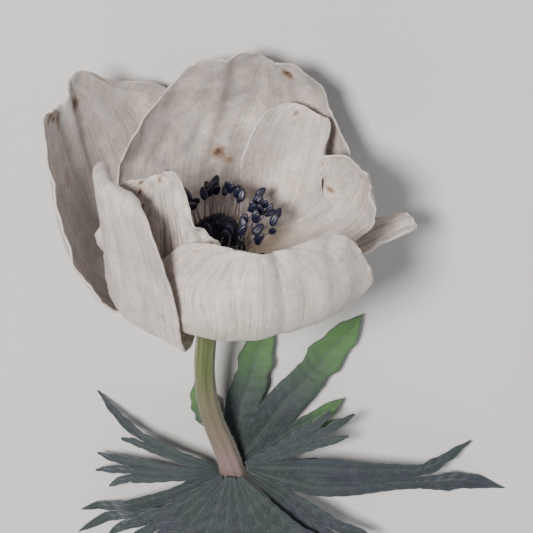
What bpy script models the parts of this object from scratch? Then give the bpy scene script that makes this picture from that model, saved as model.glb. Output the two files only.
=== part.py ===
"""A picked anemone flower lying on its side: eight tepals in a bowl, a dark centre, a whorl of cut leaves.

Lengths in the dictionaries are millimetres and angles are degrees. A tepal is worked out in the flower's
own frame, which stands on the middle of the flower base: h runs along the flower's axis, r away from it,
and the azimuth is counted round it. The whole flower is then tipped over, and the stem runs from it down
to the table.
"""
import math
import random

import bmesh
import bpy
from mathutils import Matrix, Vector

MM = 0.001
OBJECT_NAME = "anemone_flower"

# the lying pose: how far the flower's face turns aside, how far it looks up, how high its base is held
FACE_TURN = 5.0
FACE_RAISE = 22.0
BASE_HEIGHT = 32.7
# small turns and a drop that set it down on the bowl and the tips of a left and a right leaf
REST_ROLL = 0.012
REST_PITCH = 0.033
REST_DROP = -0.051
# the middle of the whole flower's box, which is put over the origin
BOX_MIDDLE = (15.949, -50.24)

TEPAL_THICKNESS = 0.6
LAYER_STEP = 1.35
TIP_CROWDING = 1.5
LEAF_THICKNESS = 0.7
SEED = 11

# rib: four (r, h) points that steer the middle line; width, widest, base, tip and blunt: the outline;
# layer: how far out it sits, counted in steps; flat: how far each side spreads; fade: 1 where that spread
# dies away with the width; lean and sweep: sideways sweep of the tip; hem and scallop: waves of the tip and
# of the sides; bites: (side, place, reach, depth) cut from a side; curls: (side, start, low, high, depth)
# rolled inwards; crease: (place, depth, reach) of a fold; hook: how far the tip bends in
TEPALS = {
    "tepal_back": dict(
        azimuth=84.1, rib=((3.5, 0), (22.1, -6.1), (36.7, 3.3), (28.8, 28.8)), width=58.5,
        widest=0.68, base=0.22, tip=0.08, blunt=1.3, layer=2, skew=0.12, flat=(1.5, -5.5), fade=1,
        lean=-8.3, sweep=2.0, ruffle=(0.5, 0.3), waves=3, hem=(0.009, 5.57, -0.74), scallop=(0.014, 4.5, 0.0),
        bites=((-1, 0.9, 0.03, 0.07), (1, 0.86, 0.09, 0.1)), curls=(),
        crease=(-0.1, 0.7, 0.1), hook=0.0, across=16, along=16),
    "tepal_left": dict(
        azimuth=164.6, rib=((3.5, 0), (25.8, -15.0), (27.2, 5.0), (32.1, 27.8)), width=56.9,
        widest=0.59, base=0.26, tip=0.15, blunt=2.1, layer=3, skew=-0.16, flat=(4.8, 2.6), fade=1,
        lean=-0.7, sweep=2.0, ruffle=(0.0, 0.5), waves=3, hem=(0.027, 3.07, -1.48), scallop=(0.02, 4.0, 1.0),
        bites=((1, 0.9, 0.05, 0.06),), curls=(), crease=(-0.3, -0.6, 0.14), hook=0.0, across=14, along=16),
    "tepal_front_left": dict(
        azimuth=242.3, rib=((3.5, 0), (33.4, -15.8), (20.6, 2.0), (30.4, 31.7)), width=21.7,
        widest=0.84, base=0.27, tip=0.22, blunt=4.0, layer=2, skew=0.12, flat=(-2.6, 4.3), fade=0,
        lean=-17.1, sweep=1.5, ruffle=(0.0, 0.0), waves=3, hem=(0.029, 0.41, 1.77), scallop=(0.02, 3.0, 0.5),
        bites=(), curls=(), crease=(-0.5, 0.35, 0.2), hook=2.6, across=12, along=14),
    "tepal_inner_left": dict(
        azimuth=238.0, rib=((3.5, 0), (16.1, -1.5), (30.4, -0.4), (20.4, 28.9)), width=33.0,
        widest=0.63, base=0.27, tip=0.05, blunt=1.5, layer=0, skew=0.25, flat=(5.6, -1.9), fade=1,
        lean=-6.9, sweep=2.0, ruffle=(0.0, 0.8), waves=4, hem=(0.026, 2.27, -0.47), scallop=(0.02, 5.0, 0.2),
        bites=((1, 0.93, 0.03, 0.1), (1, 0.6, 0.06, 0.08)), curls=(),
        crease=(0.4, 0.4, 0.16), hook=0.0, across=12, along=14),
    "tepal_front": dict(
        azimuth=293.8, rib=((3.5, 0), (28.0, -10.1), (38.2, 2.6), (27.3, 20.4)), width=50.8,
        widest=0.77, base=0.21, tip=0.13, blunt=1.6, layer=1, skew=-0.09, flat=(-7.0, 4.0), fade=1,
        lean=-3.0, sweep=2.0, ruffle=(0.0, 0.3), waves=3, hem=(0.031, 1.4, -1.84), scallop=(0.02, 4.0, 2.0),
        bites=(), curls=(), crease=(-0.4, 0.1, 0.2), hook=0.3, across=14, along=16),
    "tepal_inner_right": dict(
        azimuth=41.3, rib=((3.5, 0), (24.6, -4.5), (21.0, 1.7), (29.1, 21.9)), width=18.3,
        widest=0.72, base=0.18, tip=0.48, blunt=3.0, layer=1, skew=0.37, flat=(2.4, -4.5), fade=1,
        lean=7.2, sweep=2.0, ruffle=(0.0, 0.3), waves=3, hem=(-0.003, 2.25, 1.37), scallop=(0.02, 3.0, 0.0),
        bites=((-1, 0.9, 0.05, 0.08),), curls=((-1, 0.6, 0.72, 1.02, 1.2),),
        crease=(0.3, 0.0, 0.3), hook=0.4, across=12, along=14),
    "tepal_right": dict(
        azimuth=13.6, rib=((3.5, 0), (30.0, -1.8), (34.0, 12.0), (30.4, 20.2)), width=20.0,
        widest=0.93, base=0.22, tip=0.05, blunt=1.9, layer=0, skew=0.03, flat=(1.6, -5.9), fade=1,
        lean=-3.3, sweep=2.0, ruffle=(0.4, 0.0), waves=3, hem=(0.087, 0.84, -1.84), scallop=(0.02, 3.5, 0.0),
        bites=((-1, 0.92, 0.03, 0.16),), curls=((1, 0.7, 0.3, 1.0, 1.3),),
        crease=(0.4, 0.2, 0.2), hook=0.0, across=12, along=14),
    "tepal_far_right": dict(
        azimuth=13.1, rib=((3.5, 0), (20.3, -9.4), (34.0, 7.1), (44.2, 6.9)), width=12.8,
        widest=0.65, base=0.37, tip=0.12, blunt=2.2, layer=3, skew=-0.02, flat=(-3.5, 0.6), fade=1,
        lean=2.7, sweep=2.0, ruffle=(0.0, 0.0), waves=2, hem=(0.0, 2.0, 0.0), scallop=(0.02, 2.5, 0.0),
        bites=(), curls=(), crease=(0.3, 0.0, 0.3), hook=0.0, across=8, along=12),
}

# the seed head stands on the flower base inside a ring of stamens
HEAD_SHIFT = (0.8, 0.0)
HEAD_FOOT = 0.6
HEAD_RADIUS = 5.2
HEAD_RISE = 7.0
HEAD_BUMP = 0.35
HEAD_KNOBS = (11, 12)
RING_INNER = 5.7
RING_OUTER = 7.9
RING_RISE = 1.3
RING_SIDES = 24
STAMEN_COUNT = 70
# how much closer they stand at the back of the bowl
STAMEN_CROWDING = 0.35
STAMEN_REACH = (5.4, 14.2)
STAMEN_HEIGHT = 13.4
STAMEN_DROOP = 0.47
FILAMENT_RADIUS = 0.22
ANTHER_RADIUS = 0.84
ANTHER_HALF = 1.42

# stem: points from the flower base to the cut end (x, y, z, radius), on the table's own axes
STEM_POINTS = (
    (-1.6, -18.5, 24.8, 2.2),
    (-1.9, -37.0, 17.6, 2.3),
    (3.4, -56.0, 11.0, 2.7),
    (6.6, -70.0, 9.2, 2.4),
    (8.8, -92.0, 6.6, 2.4),
    (7.2, -116.0, 4.3, 2.4),
    (3.0, -139.0, 3.3, 2.5),
)
BASE_RADIUS = 3.0
BASE_DEPTH = 6.0
WHORL = 2

# leaves of the whorl: side, out, drop and reach say where each joins the stem; rise, sag, floor and wave how
# it arches; join: the share of the way to a hand's fork where it leaves its neighbours; blunt, swell and teeth
# shape the fingers. Hands are counted round: (heading, way to the fork, half width at the fork, fingers), and
# a finger is (heading, length, half width)
LEAVES = {
    "leaf_left": dict(
        side=198.0, out=3.4, drop=0.0, reach=2.2, rise=0.32, sag=0.021, floor=0.0, wave=0.8,
        blunt=2.6, swell=1.2, teeth=0.14, join=0.35,
        hands=((160, 17, 1.7, ((137, 14, 1.6), (170, 5, 1.3))),
               (181, 19, 2.9, ((176, 8, 1.7), (200, 9, 1.9), (226, 7, 1.7))),
               (208, 23, 3.6, ((194, 11, 2.1), (209, 14, 2.3), (227, 9, 2.0))),
               (238, 18, 3.2, ((222, 9, 2.0), (240, 11, 2.2), (258, 7, 1.9))))),
    "leaf_right": dict(
        side=18.0, out=3.4, drop=0.0, reach=2.2, rise=0.28, sag=0.0084, floor=0.0, wave=0.8,
        blunt=3.0, swell=1.1, teeth=0.12, join=0.4,
        hands=((-38, 21, 4.2, ((-57, 10, 2.3), (-39, 15, 2.7), (-20, 11, 2.3))),
               (-4, 38, 3.0, ((-15, 22, 3.1), (29, 14, 1.8))),
               (25, 16, 3.0, ((12, 8, 1.9), (28, 11, 2.1), (46, 7, 1.8))))),
    "leaf_front": dict(
        side=270.0, out=0.6, drop=-3.6, reach=2.6, rise=0.33, sag=0.0115, floor=0.8, wave=0.6,
        blunt=3.0, swell=1.1, teeth=0.12, join=0.75,
        hands=((216, 18, 4.0, ((201, 8, 2.1), (217, 12, 2.5), (235, 8, 2.1))),
               (264, 18, 4.6, ((246, 9, 2.4), (264, 13, 2.8), (282, 9, 2.4))),
               (312, 22, 4.4, ((293, 9, 2.4), (312, 14, 2.8), (331, 9, 2.4))))),
    "leaf_rear": dict(
        side=75.0, out=0.2, drop=3.3, reach=2.6, rise=-0.26, sag=-0.0035, floor=1.2, wave=0.6,
        blunt=4.5, swell=0.9, teeth=0.08, join=0.75,
        hands=((27, 18, 3.1, ((14, 7, 2.0), (33, 9, 2.0))),
               (50, 25, 4.0, ((51, 19, 4.4),)),
               (77, 19, 4.1, ((74, 15, 4.2),)),
               (112, 11, 3.0, ((108, 8, 3.0),)))),
}
# share of the rows before the forks, and the rows of faces from the stem to the finger tips
FORK_ROW = 0.5
LEAF_ROWS = 14
# share of its slice a finger fills, how far the fan reaches past the outer hands, teeth along a finger's
# sides, how a finger bends off, and how far it folds along its middle
FAN_FILL = 0.94
FAN_RIM = 20.0
TEETH_COUNT = 2.5
FINGER_BEND = 0.3
LOBE_FOLD = 0.22
LOBE_WAVE = 0.32
LOBE_SHIFT = 0.5
NARROWEST = 0.35
# spots along a finger that its neighbours keep clear of, and the share of the room between them it may fill
LINE_STEPS = 10
ROOM_SHARE = 0.44

MATERIALS = {
    "tepal": ((0.74, 0.68, 0.64), 0.6),
    "centre": ((0.012, 0.012, 0.022), 0.55),
    "stamen": ((0.02, 0.024, 0.06), 0.45),
    "stem": ((0.13, 0.15, 0.06), 0.6),
    "leaf": ((0.055, 0.085, 0.06), 0.65),
}


def clamp(value, low=0.0, high=1.0):
    return max(low, min(high, value))


def material(name):
    colour, roughness = MATERIALS[name]
    made = bpy.data.materials.new(name)
    made.use_nodes = True
    shader = made.node_tree.nodes["Principled BSDF"]
    shader.inputs["Base Color"].default_value = (*colour, 1.0)
    shader.inputs["Roughness"].default_value = roughness
    shader.inputs["Metallic"].default_value = 0.0
    return made


def flower_matrix():
    tip_over = Matrix.Rotation(math.radians(-(90.0 - FACE_RAISE)), 4, "X")
    turn = Matrix.Rotation(math.radians(-FACE_TURN), 4, "Z")
    return Matrix.Translation((0, 0, BASE_HEIGHT * MM)) @ turn @ tip_over


def rest_matrix():
    roll = Matrix.Rotation(math.radians(REST_ROLL), 4, "Y")
    pitch = Matrix.Rotation(math.radians(REST_PITCH), 4, "X")
    shift = (-BOX_MIDDLE[0] * MM, -BOX_MIDDLE[1] * MM, -REST_DROP * MM)
    return Matrix.Translation(shift) @ pitch @ roll


def rib_point(rib, t):
    k = 1.0 - t
    weights = (k**3, 3 * k * k * t, 3 * k * t * t, t**3)
    slopes = (-3 * k * k, 3 * k * k - 6 * k * t, 6 * k * t - 3 * t * t, 3 * t * t)
    r, h = (sum(w * p[i] for w, p in zip(weights, rib)) for i in (0, 1))
    dr, dh = (sum(w * p[i] for w, p in zip(slopes, rib)) for i in (0, 1))
    length = math.hypot(dr, dh)
    return r, h, dr / length, dh / length


def half_width(tepal, v, side):
    if v < tepal["widest"]:
        share = tepal["base"] + (1 - tepal["base"]) * math.sin(math.pi / 2 * v / tepal["widest"]) ** 0.9
    else:
        q = (v - tepal["widest"]) / (1 - tepal["widest"])
        share = tepal["tip"] + (1 - tepal["tip"]) * math.sqrt(clamp(1 - q ** tepal["blunt"]))
    depth, count, start = tepal["scallop"]
    share *= 1 + depth * v * math.sin(2 * math.pi * count * v + start + side)
    for bite_side, place, reach, depth in tepal["bites"]:
        if bite_side == side:
            share *= 1 - depth * math.exp(-(((v - place) / reach) ** 2))
    return tepal["width"] / 2 * share * (1 + tepal["skew"] * side)


def tepal_point(tepal, u, v):
    """A point of the blade's middle: u runs across it from -1 to 1, v from the base to the tip."""
    side = 1 if u > 0 else -1 if u < 0 else 0
    half = half_width(tepal, v, side)
    # how far out from the middle line, as a share of half the width
    out = u * half / (tepal["width"] / 2)
    amount, count, start = tepal["hem"]
    along = v * (1 + amount * v * v * math.sin(count * math.pi * out + start))
    r, h, dr, dh = rib_point(tepal["rib"], along)
    spread = u * half / max(r, 5.0)
    flat = tepal["flat"][1] if u > 0 else tepal["flat"][0]
    ruffle = tepal["ruffle"][1] if u > 0 else tepal["ruffle"][0]
    inward = -flat * abs(out if tepal["fade"] else u) ** 2.2 * clamp(v / 0.7) ** 1.5
    inward += ruffle * abs(u) ** 3 * v * (1 - math.cos(2 * math.pi * tepal["waves"] * v))
    place, depth, reach = tepal["crease"]
    inward += depth * math.exp(-(((out - place) / reach) ** 2)) * v**1.5
    inward += tepal["hook"] * clamp((v - 0.84) / 0.16) ** 2
    for curl_side, begin, low, high, curl in tepal["curls"]:
        lift = math.sin(math.pi * clamp((v - low) / (high - low))) if low < v < high else 0.0
        inward += curl * lift * clamp((curl_side * u - begin) / (1 - begin)) ** 2
    r, h = r - dh * inward, h + dr * inward
    # whole layers are let out straight down at the foot, and square to the blade further out
    apart, free = tepal["layer"] * LAYER_STEP, clamp(v / 0.2)
    r, h = r + dh * apart * free, h - apart * (1 + (dr - 1) * free)
    azimuth = math.radians(tepal["azimuth"]) + spread + math.radians(tepal["lean"]) * v ** tepal["sweep"]
    return Vector((r * math.cos(azimuth), r * math.sin(azimuth), h)) * MM


def finish_blade(bm, name, thickness, slot, collection):
    """Splits the sheet into triangles, gives it an even thickness and files it."""
    bmesh.ops.triangulate(bm, faces=bm.faces[:])
    bmesh.ops.recalc_face_normals(bm, faces=bm.faces[:])
    mesh = bpy.data.meshes.new(name)
    bm.to_mesh(mesh)
    bm.free()
    mesh.materials.append(slot)
    blade = bpy.data.objects.new(name, mesh)
    collection.objects.link(blade)
    solid = blade.modifiers.new("thickness", "SOLIDIFY")
    solid.thickness = thickness * MM
    solid.offset = 0.0
    return blade


def build_tepal(name, tepal, place, slot, collection):
    bm = bmesh.new()
    bmesh.ops.create_grid(bm, x_segments=tepal["across"], y_segments=tepal["along"], size=1.0)
    for vertex in bm.verts:
        # the rows crowd towards the tip, where the outline turns fastest
        u, v = vertex.co.x, 1 - ((1 - vertex.co.y) / 2) ** TIP_CROWDING
        vertex.co = place @ tepal_point(tepal, u, v)
    return finish_blade(bm, name, TEPAL_THICKNESS, slot, collection)


def build_seed_head(place, slot, collection):
    """A low dome of knobbly seeds, flat underneath."""
    bm = bmesh.new()
    bmesh.ops.create_uvsphere(bm, u_segments=22, v_segments=14, radius=1.0)
    lower = [v for v in bm.verts if v.co.z < -0.01]
    bmesh.ops.delete(bm, geom=lower, context="VERTS")
    rim = [e for e in bm.edges if e.is_boundary]
    bmesh.ops.contextual_create(bm, geom=rim)
    for vertex in bm.verts:
        direction = vertex.co.copy()
        turn = math.atan2(direction.y, direction.x)
        height = math.asin(clamp(direction.z, -1.0, 1.0))
        knob = math.cos(HEAD_KNOBS[0] * turn) * math.cos(HEAD_KNOBS[1] * height) * math.cos(height)
        knob *= clamp(direction.z * 4)
        size = 1 + HEAD_BUMP / HEAD_RADIUS * knob
        vertex.co = place @ Vector((
            (HEAD_SHIFT[0] + direction.x * HEAD_RADIUS * size) * MM,
            (HEAD_SHIFT[1] + direction.y * HEAD_RADIUS * size) * MM,
            (HEAD_FOOT + direction.z * HEAD_RISE * size) * MM))
    bmesh.ops.triangulate(bm, faces=bm.faces[:])
    bmesh.ops.recalc_face_normals(bm, faces=bm.faces[:])
    mesh = bpy.data.meshes.new("seed_head")
    bm.to_mesh(mesh)
    bm.free()
    mesh.materials.append(slot)
    dome = bpy.data.objects.new("seed_head", mesh)
    collection.objects.link(dome)
    return dome


def tapered_rod(bm, start, end, radius, sides):
    """A closed rod between two points."""
    axis = end - start
    turn = axis.to_track_quat("Z", "Y").to_matrix().to_4x4()
    spot = Matrix.Translation((start + end) / 2) @ turn
    bmesh.ops.create_cone(bm, cap_ends=True, segments=sides, radius1=radius, radius2=radius * 0.8,
                          depth=axis.length, matrix=spot)


def build_stamens(place, slot, collection, cutters):
    """A low ring with the stamens standing out of it, joined into one body."""
    rng = random.Random(SEED)
    ring_mesh = bpy.data.meshes.new("stamens")
    bm = bmesh.new()
    profile = ((RING_INNER, HEAD_FOOT), (RING_OUTER, HEAD_FOOT), (RING_OUTER - 0.3, HEAD_FOOT + RING_RISE),
               (RING_INNER, HEAD_FOOT + RING_RISE))
    loop = [bm.verts.new((r, 0.0, h)) for r, h in profile]
    edges = [bm.edges.new((loop[i], loop[(i + 1) % 4])) for i in range(4)]
    bmesh.ops.spin(bm, geom=loop + edges, cent=(0, 0, 0), axis=(0, 0, 1), angle=math.tau, steps=RING_SIDES,
                   use_merge=True)
    for vertex in bm.verts:
        shifted = Vector((vertex.co.x + HEAD_SHIFT[0], vertex.co.y + HEAD_SHIFT[1], vertex.co.z))
        vertex.co = place @ (shifted * MM)
    bmesh.ops.recalc_face_normals(bm, faces=bm.faces[:])
    bm.to_mesh(ring_mesh)
    bm.free()
    ring_mesh.materials.append(slot)
    ring = bpy.data.objects.new("stamens", ring_mesh)
    collection.objects.link(ring)

    root_radius = (RING_INNER + RING_OUTER) / 2 - 0.1
    for index in range(STAMEN_COUNT):
        azimuth = math.tau * (index + rng.uniform(-0.4, 0.4)) / STAMEN_COUNT
        azimuth += STAMEN_CROWDING * math.cos(azimuth)
        reach = STAMEN_REACH[0] + (STAMEN_REACH[1] - STAMEN_REACH[0]) * rng.random() ** 0.8
        height = STAMEN_HEIGHT - STAMEN_DROOP * reach + rng.uniform(-1.1, 1.1)
        sway = azimuth + rng.uniform(-0.2, 0.2)
        root = Vector((root_radius * math.cos(azimuth), root_radius * math.sin(azimuth), HEAD_FOOT + 0.7))
        top = Vector((reach * math.cos(sway), reach * math.sin(sway), height))
        shift = Vector((HEAD_SHIFT[0], HEAD_SHIFT[1], 0.0))
        root, top = place @ ((root + shift) * MM), place @ ((top + shift) * MM)
        stamen = bmesh.new()
        tapered_rod(stamen, root, top, FILAMENT_RADIUS * MM, 3)
        mesh = bpy.data.meshes.new(f"filament_{index}")
        stamen.to_mesh(mesh)
        stamen.free()
        cutters.objects.link(bpy.data.objects.new(mesh.name, mesh))
        anther = bmesh.new()
        lie = (top - root).to_track_quat("Z", "Y").to_matrix().to_4x4()
        tilt = Matrix.Rotation(rng.uniform(-0.7, 0.7), 4, "X")
        tilt = tilt @ Matrix.Rotation(rng.uniform(-0.5, 0.5), 4, "Y")
        stretch = Matrix.Diagonal((ANTHER_RADIUS * MM, ANTHER_RADIUS * 0.8 * MM, ANTHER_HALF * MM, 1.0))
        bmesh.ops.create_uvsphere(anther, u_segments=5, v_segments=4, radius=1.0,
                                  matrix=Matrix.Translation(top) @ lie @ tilt @ stretch)
        mesh = bpy.data.meshes.new(f"anther_{index}")
        anther.to_mesh(mesh)
        anther.free()
        cutters.objects.link(bpy.data.objects.new(mesh.name, mesh))

    join = ring.modifiers.new("join", "BOOLEAN")
    join.operation = "UNION"
    join.operand_type = "COLLECTION"
    join.collection = cutters
    join.solver = "MANIFOLD"
    bpy.context.view_layer.update()
    depsgraph = bpy.context.evaluated_depsgraph_get()
    joined = bpy.data.meshes.new_from_object(ring.evaluated_get(depsgraph))
    ring.modifiers.clear()
    ring.data = joined
    joined.name = "stamens"
    for spare in list(cutters.objects):
        bpy.data.objects.remove(spare, do_unlink=True)
    return ring


def stem_points(place):
    """The stem's centre line with its radii, from under the seed head to the cut end."""
    top = place @ (Vector((0, 0, HEAD_FOOT - 0.35)) * MM)
    neck = place @ (Vector((0, 0, -BASE_DEPTH + 1.2)) * MM)
    below = place @ (Vector((0, 0, -BASE_DEPTH - 2.5)) * MM)
    points = [(top, BASE_RADIUS), (neck, BASE_RADIUS), (below, 2.3)]
    points += [(Vector((x, y, z)) * MM, radius) for x, y, z, radius in STEM_POINTS]
    return points


def build_stem(place, slot, collection):
    points = stem_points(place)
    curve = bpy.data.curves.new("stem_line", "CURVE")
    curve.dimensions = "3D"
    curve.bevel_depth = 1.0 * MM
    curve.bevel_resolution = 2
    curve.use_fill_caps = True
    curve.resolution_u = 3
    spline = curve.splines.new("BEZIER")
    spline.bezier_points.add(len(points) - 1)
    for knot, (spot, radius) in zip(spline.bezier_points, points):
        knot.co = spot
        knot.radius = radius
        knot.handle_left_type = knot.handle_right_type = "AUTO"
    line = bpy.data.objects.new("stem_line", curve)
    collection.objects.link(line)
    bpy.context.view_layer.update()
    depsgraph = bpy.context.evaluated_depsgraph_get()
    mesh = bpy.data.meshes.new_from_object(line.evaluated_get(depsgraph))
    bpy.data.objects.remove(line, do_unlink=True)
    bm = bmesh.new()
    bm.from_mesh(mesh)
    bmesh.ops.remove_doubles(bm, verts=bm.verts[:], dist=0.00001)
    bmesh.ops.triangulate(bm, faces=bm.faces[:])
    bmesh.ops.recalc_face_normals(bm, faces=bm.faces[:])
    bm.to_mesh(mesh)
    bm.free()
    mesh.name = "stem"
    mesh.materials.clear()
    mesh.materials.append(slot)
    stem = bpy.data.objects.new("stem", mesh)
    collection.objects.link(stem)
    return stem


def hand_side(leaf, hand, side, share):
    """How far a hand reaches to one side, at a share of the way to its fork."""
    hands = leaf["hands"]
    heading, fork, palm, _ = hands[hand]
    neighbour = hand + side
    step = abs(hands[neighbour][0] - heading) if 0 <= neighbour < len(hands) else FAN_RIM
    opening = math.tan(math.radians(step / 2))
    root = leaf["reach"] * step / 120
    if share < leaf["join"]:
        return root * (1 - share) + share * fork * opening
    k = (share - leaf["join"]) / (1 - leaf["join"])
    start = root * (1 - leaf["join"]) + leaf["join"] * fork * opening
    return start + (palm - start) * k * k * (3 - 2 * k)


def heading_vector(degrees):
    return Vector((math.cos(math.radians(degrees)), math.sin(math.radians(degrees))))


def finger_middle(leaf, hand, finger, q):
    """The middle of one finger seen from above: the spot, the way it runs, its share of the hand, and k."""
    x, y, _, _ = STEM_POINTS[WHORL]
    heading, fork, _, fingers = leaf["hands"][hand]
    share = min(q / FORK_ROW, 1.0)
    right, left = hand_side(leaf, hand, -1, share), hand_side(leaf, hand, 1, share)
    slice_half = (left + right) / len(fingers) / 2
    run = heading_vector(heading)
    side = heading_vector(leaf["side"])
    along = (heading - leaf["side"] + 180) % 360 - 180
    flat = Vector((x, y)) + side * leaf["out"]
    flat += Vector((-side.y, side.x)) * (leaf["reach"] * clamp(along / 60, -1.0, 1.0))
    flat += run * (share * fork) + Vector((-run.y, run.x)) * (slice_half * (2 * finger + 1) - right)
    k = max(0.0, (q - FORK_ROW) / (1 - FORK_ROW))
    if k > 0:
        # beyond the fork each finger bends off to its own heading
        tip_heading, length, _ = fingers[finger]
        first = run * (length * FINGER_BEND)
        last = heading_vector(tip_heading) * (length * (1 - FINGER_BEND))
        flat += first * (2 * k * (1 - k)) + (first + last) * (k * k)
        run = (first * (1 - k) + last * k).normalized()
    return flat, run, slice_half, k


def finger_lines(leaf, fingers):
    """Spots along each finger beyond its fork, seen from above."""
    spots = [FORK_ROW + (1 - FORK_ROW) * i / LINE_STEPS for i in range(LINE_STEPS + 1)]
    return [[finger_middle(leaf, hand, finger, q)[0] for q in spots] for hand, finger in fingers]


def leaf_point(leaf, hand, finger, lines, t, q):
    """A point of a cut leaf: t runs across one finger, q from the stem to that finger's tip."""
    z = STEM_POINTS[WHORL][2]
    fork, fingers = leaf["hands"][hand][1], leaf["hands"][hand][3]
    flat, run, slice_half, k = finger_middle(leaf, hand, finger, q)
    share = min(q / FORK_ROW, 1.0)
    across = slice_half * FAN_FILL
    away = share * fork
    if k > 0:
        _, length, half = fingers[finger]
        away += k * length
        full = across + (half - across) * math.sin(math.pi / 2 * clamp(k * 2 * leaf["swell"]))
        teeth = 1 - leaf["teeth"] * (1 - math.cos(math.tau * TEETH_COUNT * k))
        # no wider than the room up to the neighbouring fingers
        room = min([(flat - spot).length for line in lines for spot in line], default=full / ROOM_SHARE)
        across = max(NARROWEST, min(full * teeth, room * ROOM_SHARE) * (1 - k ** leaf["blunt"]))
    flat += Vector((-run.y, run.x)) * (t * across)
    lift = z - leaf["drop"] + leaf["rise"] * away - leaf["sag"] * away * away
    lift += leaf["wave"] * math.sin(LOBE_WAVE * away + LOBE_SHIFT * (hand + finger)) * q
    lift += LOBE_FOLD * abs(t) * across * q
    return Vector((flat.x, flat.y, max(lift, leaf["floor"] + LEAF_THICKNESS / 2))) * MM


def build_leaf(name, leaf, slot, collection):
    fingers = [(hand, finger) for hand, entry in enumerate(leaf["hands"]) for finger in range(len(entry[3]))]
    columns = 3 * len(fingers) - 1
    bm = bmesh.new()
    bmesh.ops.create_grid(bm, x_segments=columns, y_segments=LEAF_ROWS, size=1.0)
    marks = {}
    for vertex in bm.verts:
        column = round((vertex.co.x + 1) / 2 * columns)
        row = round((vertex.co.y + 1) / 2 * LEAF_ROWS)
        marks[vertex] = (column, row)
    cuts = []
    for face in bm.faces:
        spots = [marks[v] for v in face.verts]
        low = min(c for c, r in spots)
        if low % 3 < 2:
            continue
        same_hand = fingers[low // 3][0] == fingers[low // 3 + 1][0]
        cut = FORK_ROW if same_hand else leaf["join"] * FORK_ROW
        if min(r for c, r in spots) >= cut * LEAF_ROWS:
            cuts.append(face)
    bmesh.ops.delete(bm, geom=cuts, context="FACES")
    lines = finger_lines(leaf, fingers)
    for vertex in bm.verts:
        column, row = marks[vertex]
        place = column // 3
        beside = lines[max(place - 1, 0):place] + lines[place + 1:place + 2]
        vertex.co = leaf_point(leaf, *fingers[place], beside, column % 3 - 1, row / LEAF_ROWS)
    return finish_blade(bm, name, LEAF_THICKNESS, slot, collection)


def main():
    for thing in list(bpy.data.objects):
        bpy.data.objects.remove(thing, do_unlink=True)
    parts = bpy.data.collections.new(OBJECT_NAME)
    cutters = bpy.data.collections.new("joined_pieces")
    for group in (parts, cutters):
        bpy.context.scene.collection.children.link(group)
    cutters.hide_render = True
    place = flower_matrix()
    for name, tepal in TEPALS.items():
        build_tepal(name, tepal, place, material("tepal"), parts)
    build_seed_head(place, material("centre"), parts)
    build_stamens(place, material("stamen"), parts, cutters)
    build_stem(place, material("stem"), parts)
    for name, leaf in LEAVES.items():
        build_leaf(name, leaf, material("leaf"), parts)
    rest = rest_matrix()
    for piece in parts.objects:
        piece.data.transform(rest)


main()
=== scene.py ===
import math
import random

import bmesh
import bpy
from mathutils import Matrix, Vector, noise


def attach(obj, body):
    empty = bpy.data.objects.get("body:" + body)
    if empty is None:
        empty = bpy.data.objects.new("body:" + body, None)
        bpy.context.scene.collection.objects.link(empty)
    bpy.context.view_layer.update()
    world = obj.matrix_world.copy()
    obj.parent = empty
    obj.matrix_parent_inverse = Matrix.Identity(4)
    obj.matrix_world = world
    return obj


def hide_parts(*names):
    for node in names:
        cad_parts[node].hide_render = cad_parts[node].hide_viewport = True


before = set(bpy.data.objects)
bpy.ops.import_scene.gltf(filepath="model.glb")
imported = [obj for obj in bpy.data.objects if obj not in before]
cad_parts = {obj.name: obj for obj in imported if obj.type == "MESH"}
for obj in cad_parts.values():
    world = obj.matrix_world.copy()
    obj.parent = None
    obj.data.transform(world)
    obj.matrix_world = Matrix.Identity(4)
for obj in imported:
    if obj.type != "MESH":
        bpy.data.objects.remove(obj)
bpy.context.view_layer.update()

# A picked anemone lying on its side. Lengths in the dictionaries are millimetres and angles are degrees.
mm = 0.001
rootBody = "root"
# the noise stays within about 0.6 of zero; this brings it near 1
noiseGain = 1.6
print("anemone: frame loaded,", len(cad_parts), "solids")

# how the flower lies; boxMiddle is the middle of the solids' box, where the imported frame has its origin
flowerPose = dict(
    faceTurn=5.0, faceRaise=22.0, baseHeight=32.7,
    roll=0.012, pitch=0.033, drop=-0.051,
    boxMiddle=(15.949, -50.24),
)

# camera: looks down so that the lying flower shows as in the photograph; flowerAt is where its base shows,
# in pixels
cameraSetup = dict(
    tilt=14.0, distance=500.0, viewWidth=112.0, imageSize=533.0, flowerAt=(213.0, 249.0),
)

studio = dict(
    floorSize=2.4, floorColour=(0.56, 0.55, 0.54), floorRoughness=0.7,
    worldColour=(0.80, 0.83, 0.88), worldStrength=0.28,
    # each light: direction towards it, distance (m), size (m), power (W), colour
    keyLight=((-0.27, 0.20, 0.94), 0.9, 0.20, 14.0, (1.0, 0.965, 0.93)),
    fillLight=((0.80, 0.05, 0.55), 1.1, 0.7, 2.1, (0.93, 0.96, 1.0)),
    frontLight=((-0.30, -0.60, 0.70), 1.0, 0.6, 2.0, (1.0, 0.98, 0.96)),
)


def clamp(value, low=0.0, high=1.0):
    return max(low, min(high, value))


def restMatrix():
    middle = Vector((-flowerPose["boxMiddle"][0], -flowerPose["boxMiddle"][1], 0.0)) * mm
    drop = Matrix.Translation((0, 0, -flowerPose["drop"] * mm))
    pitch = Matrix.Rotation(math.radians(flowerPose["pitch"]), 4, "X")
    roll = Matrix.Rotation(math.radians(flowerPose["roll"]), 4, "Y")
    return Matrix.Translation(middle) @ drop @ pitch @ roll


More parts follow.
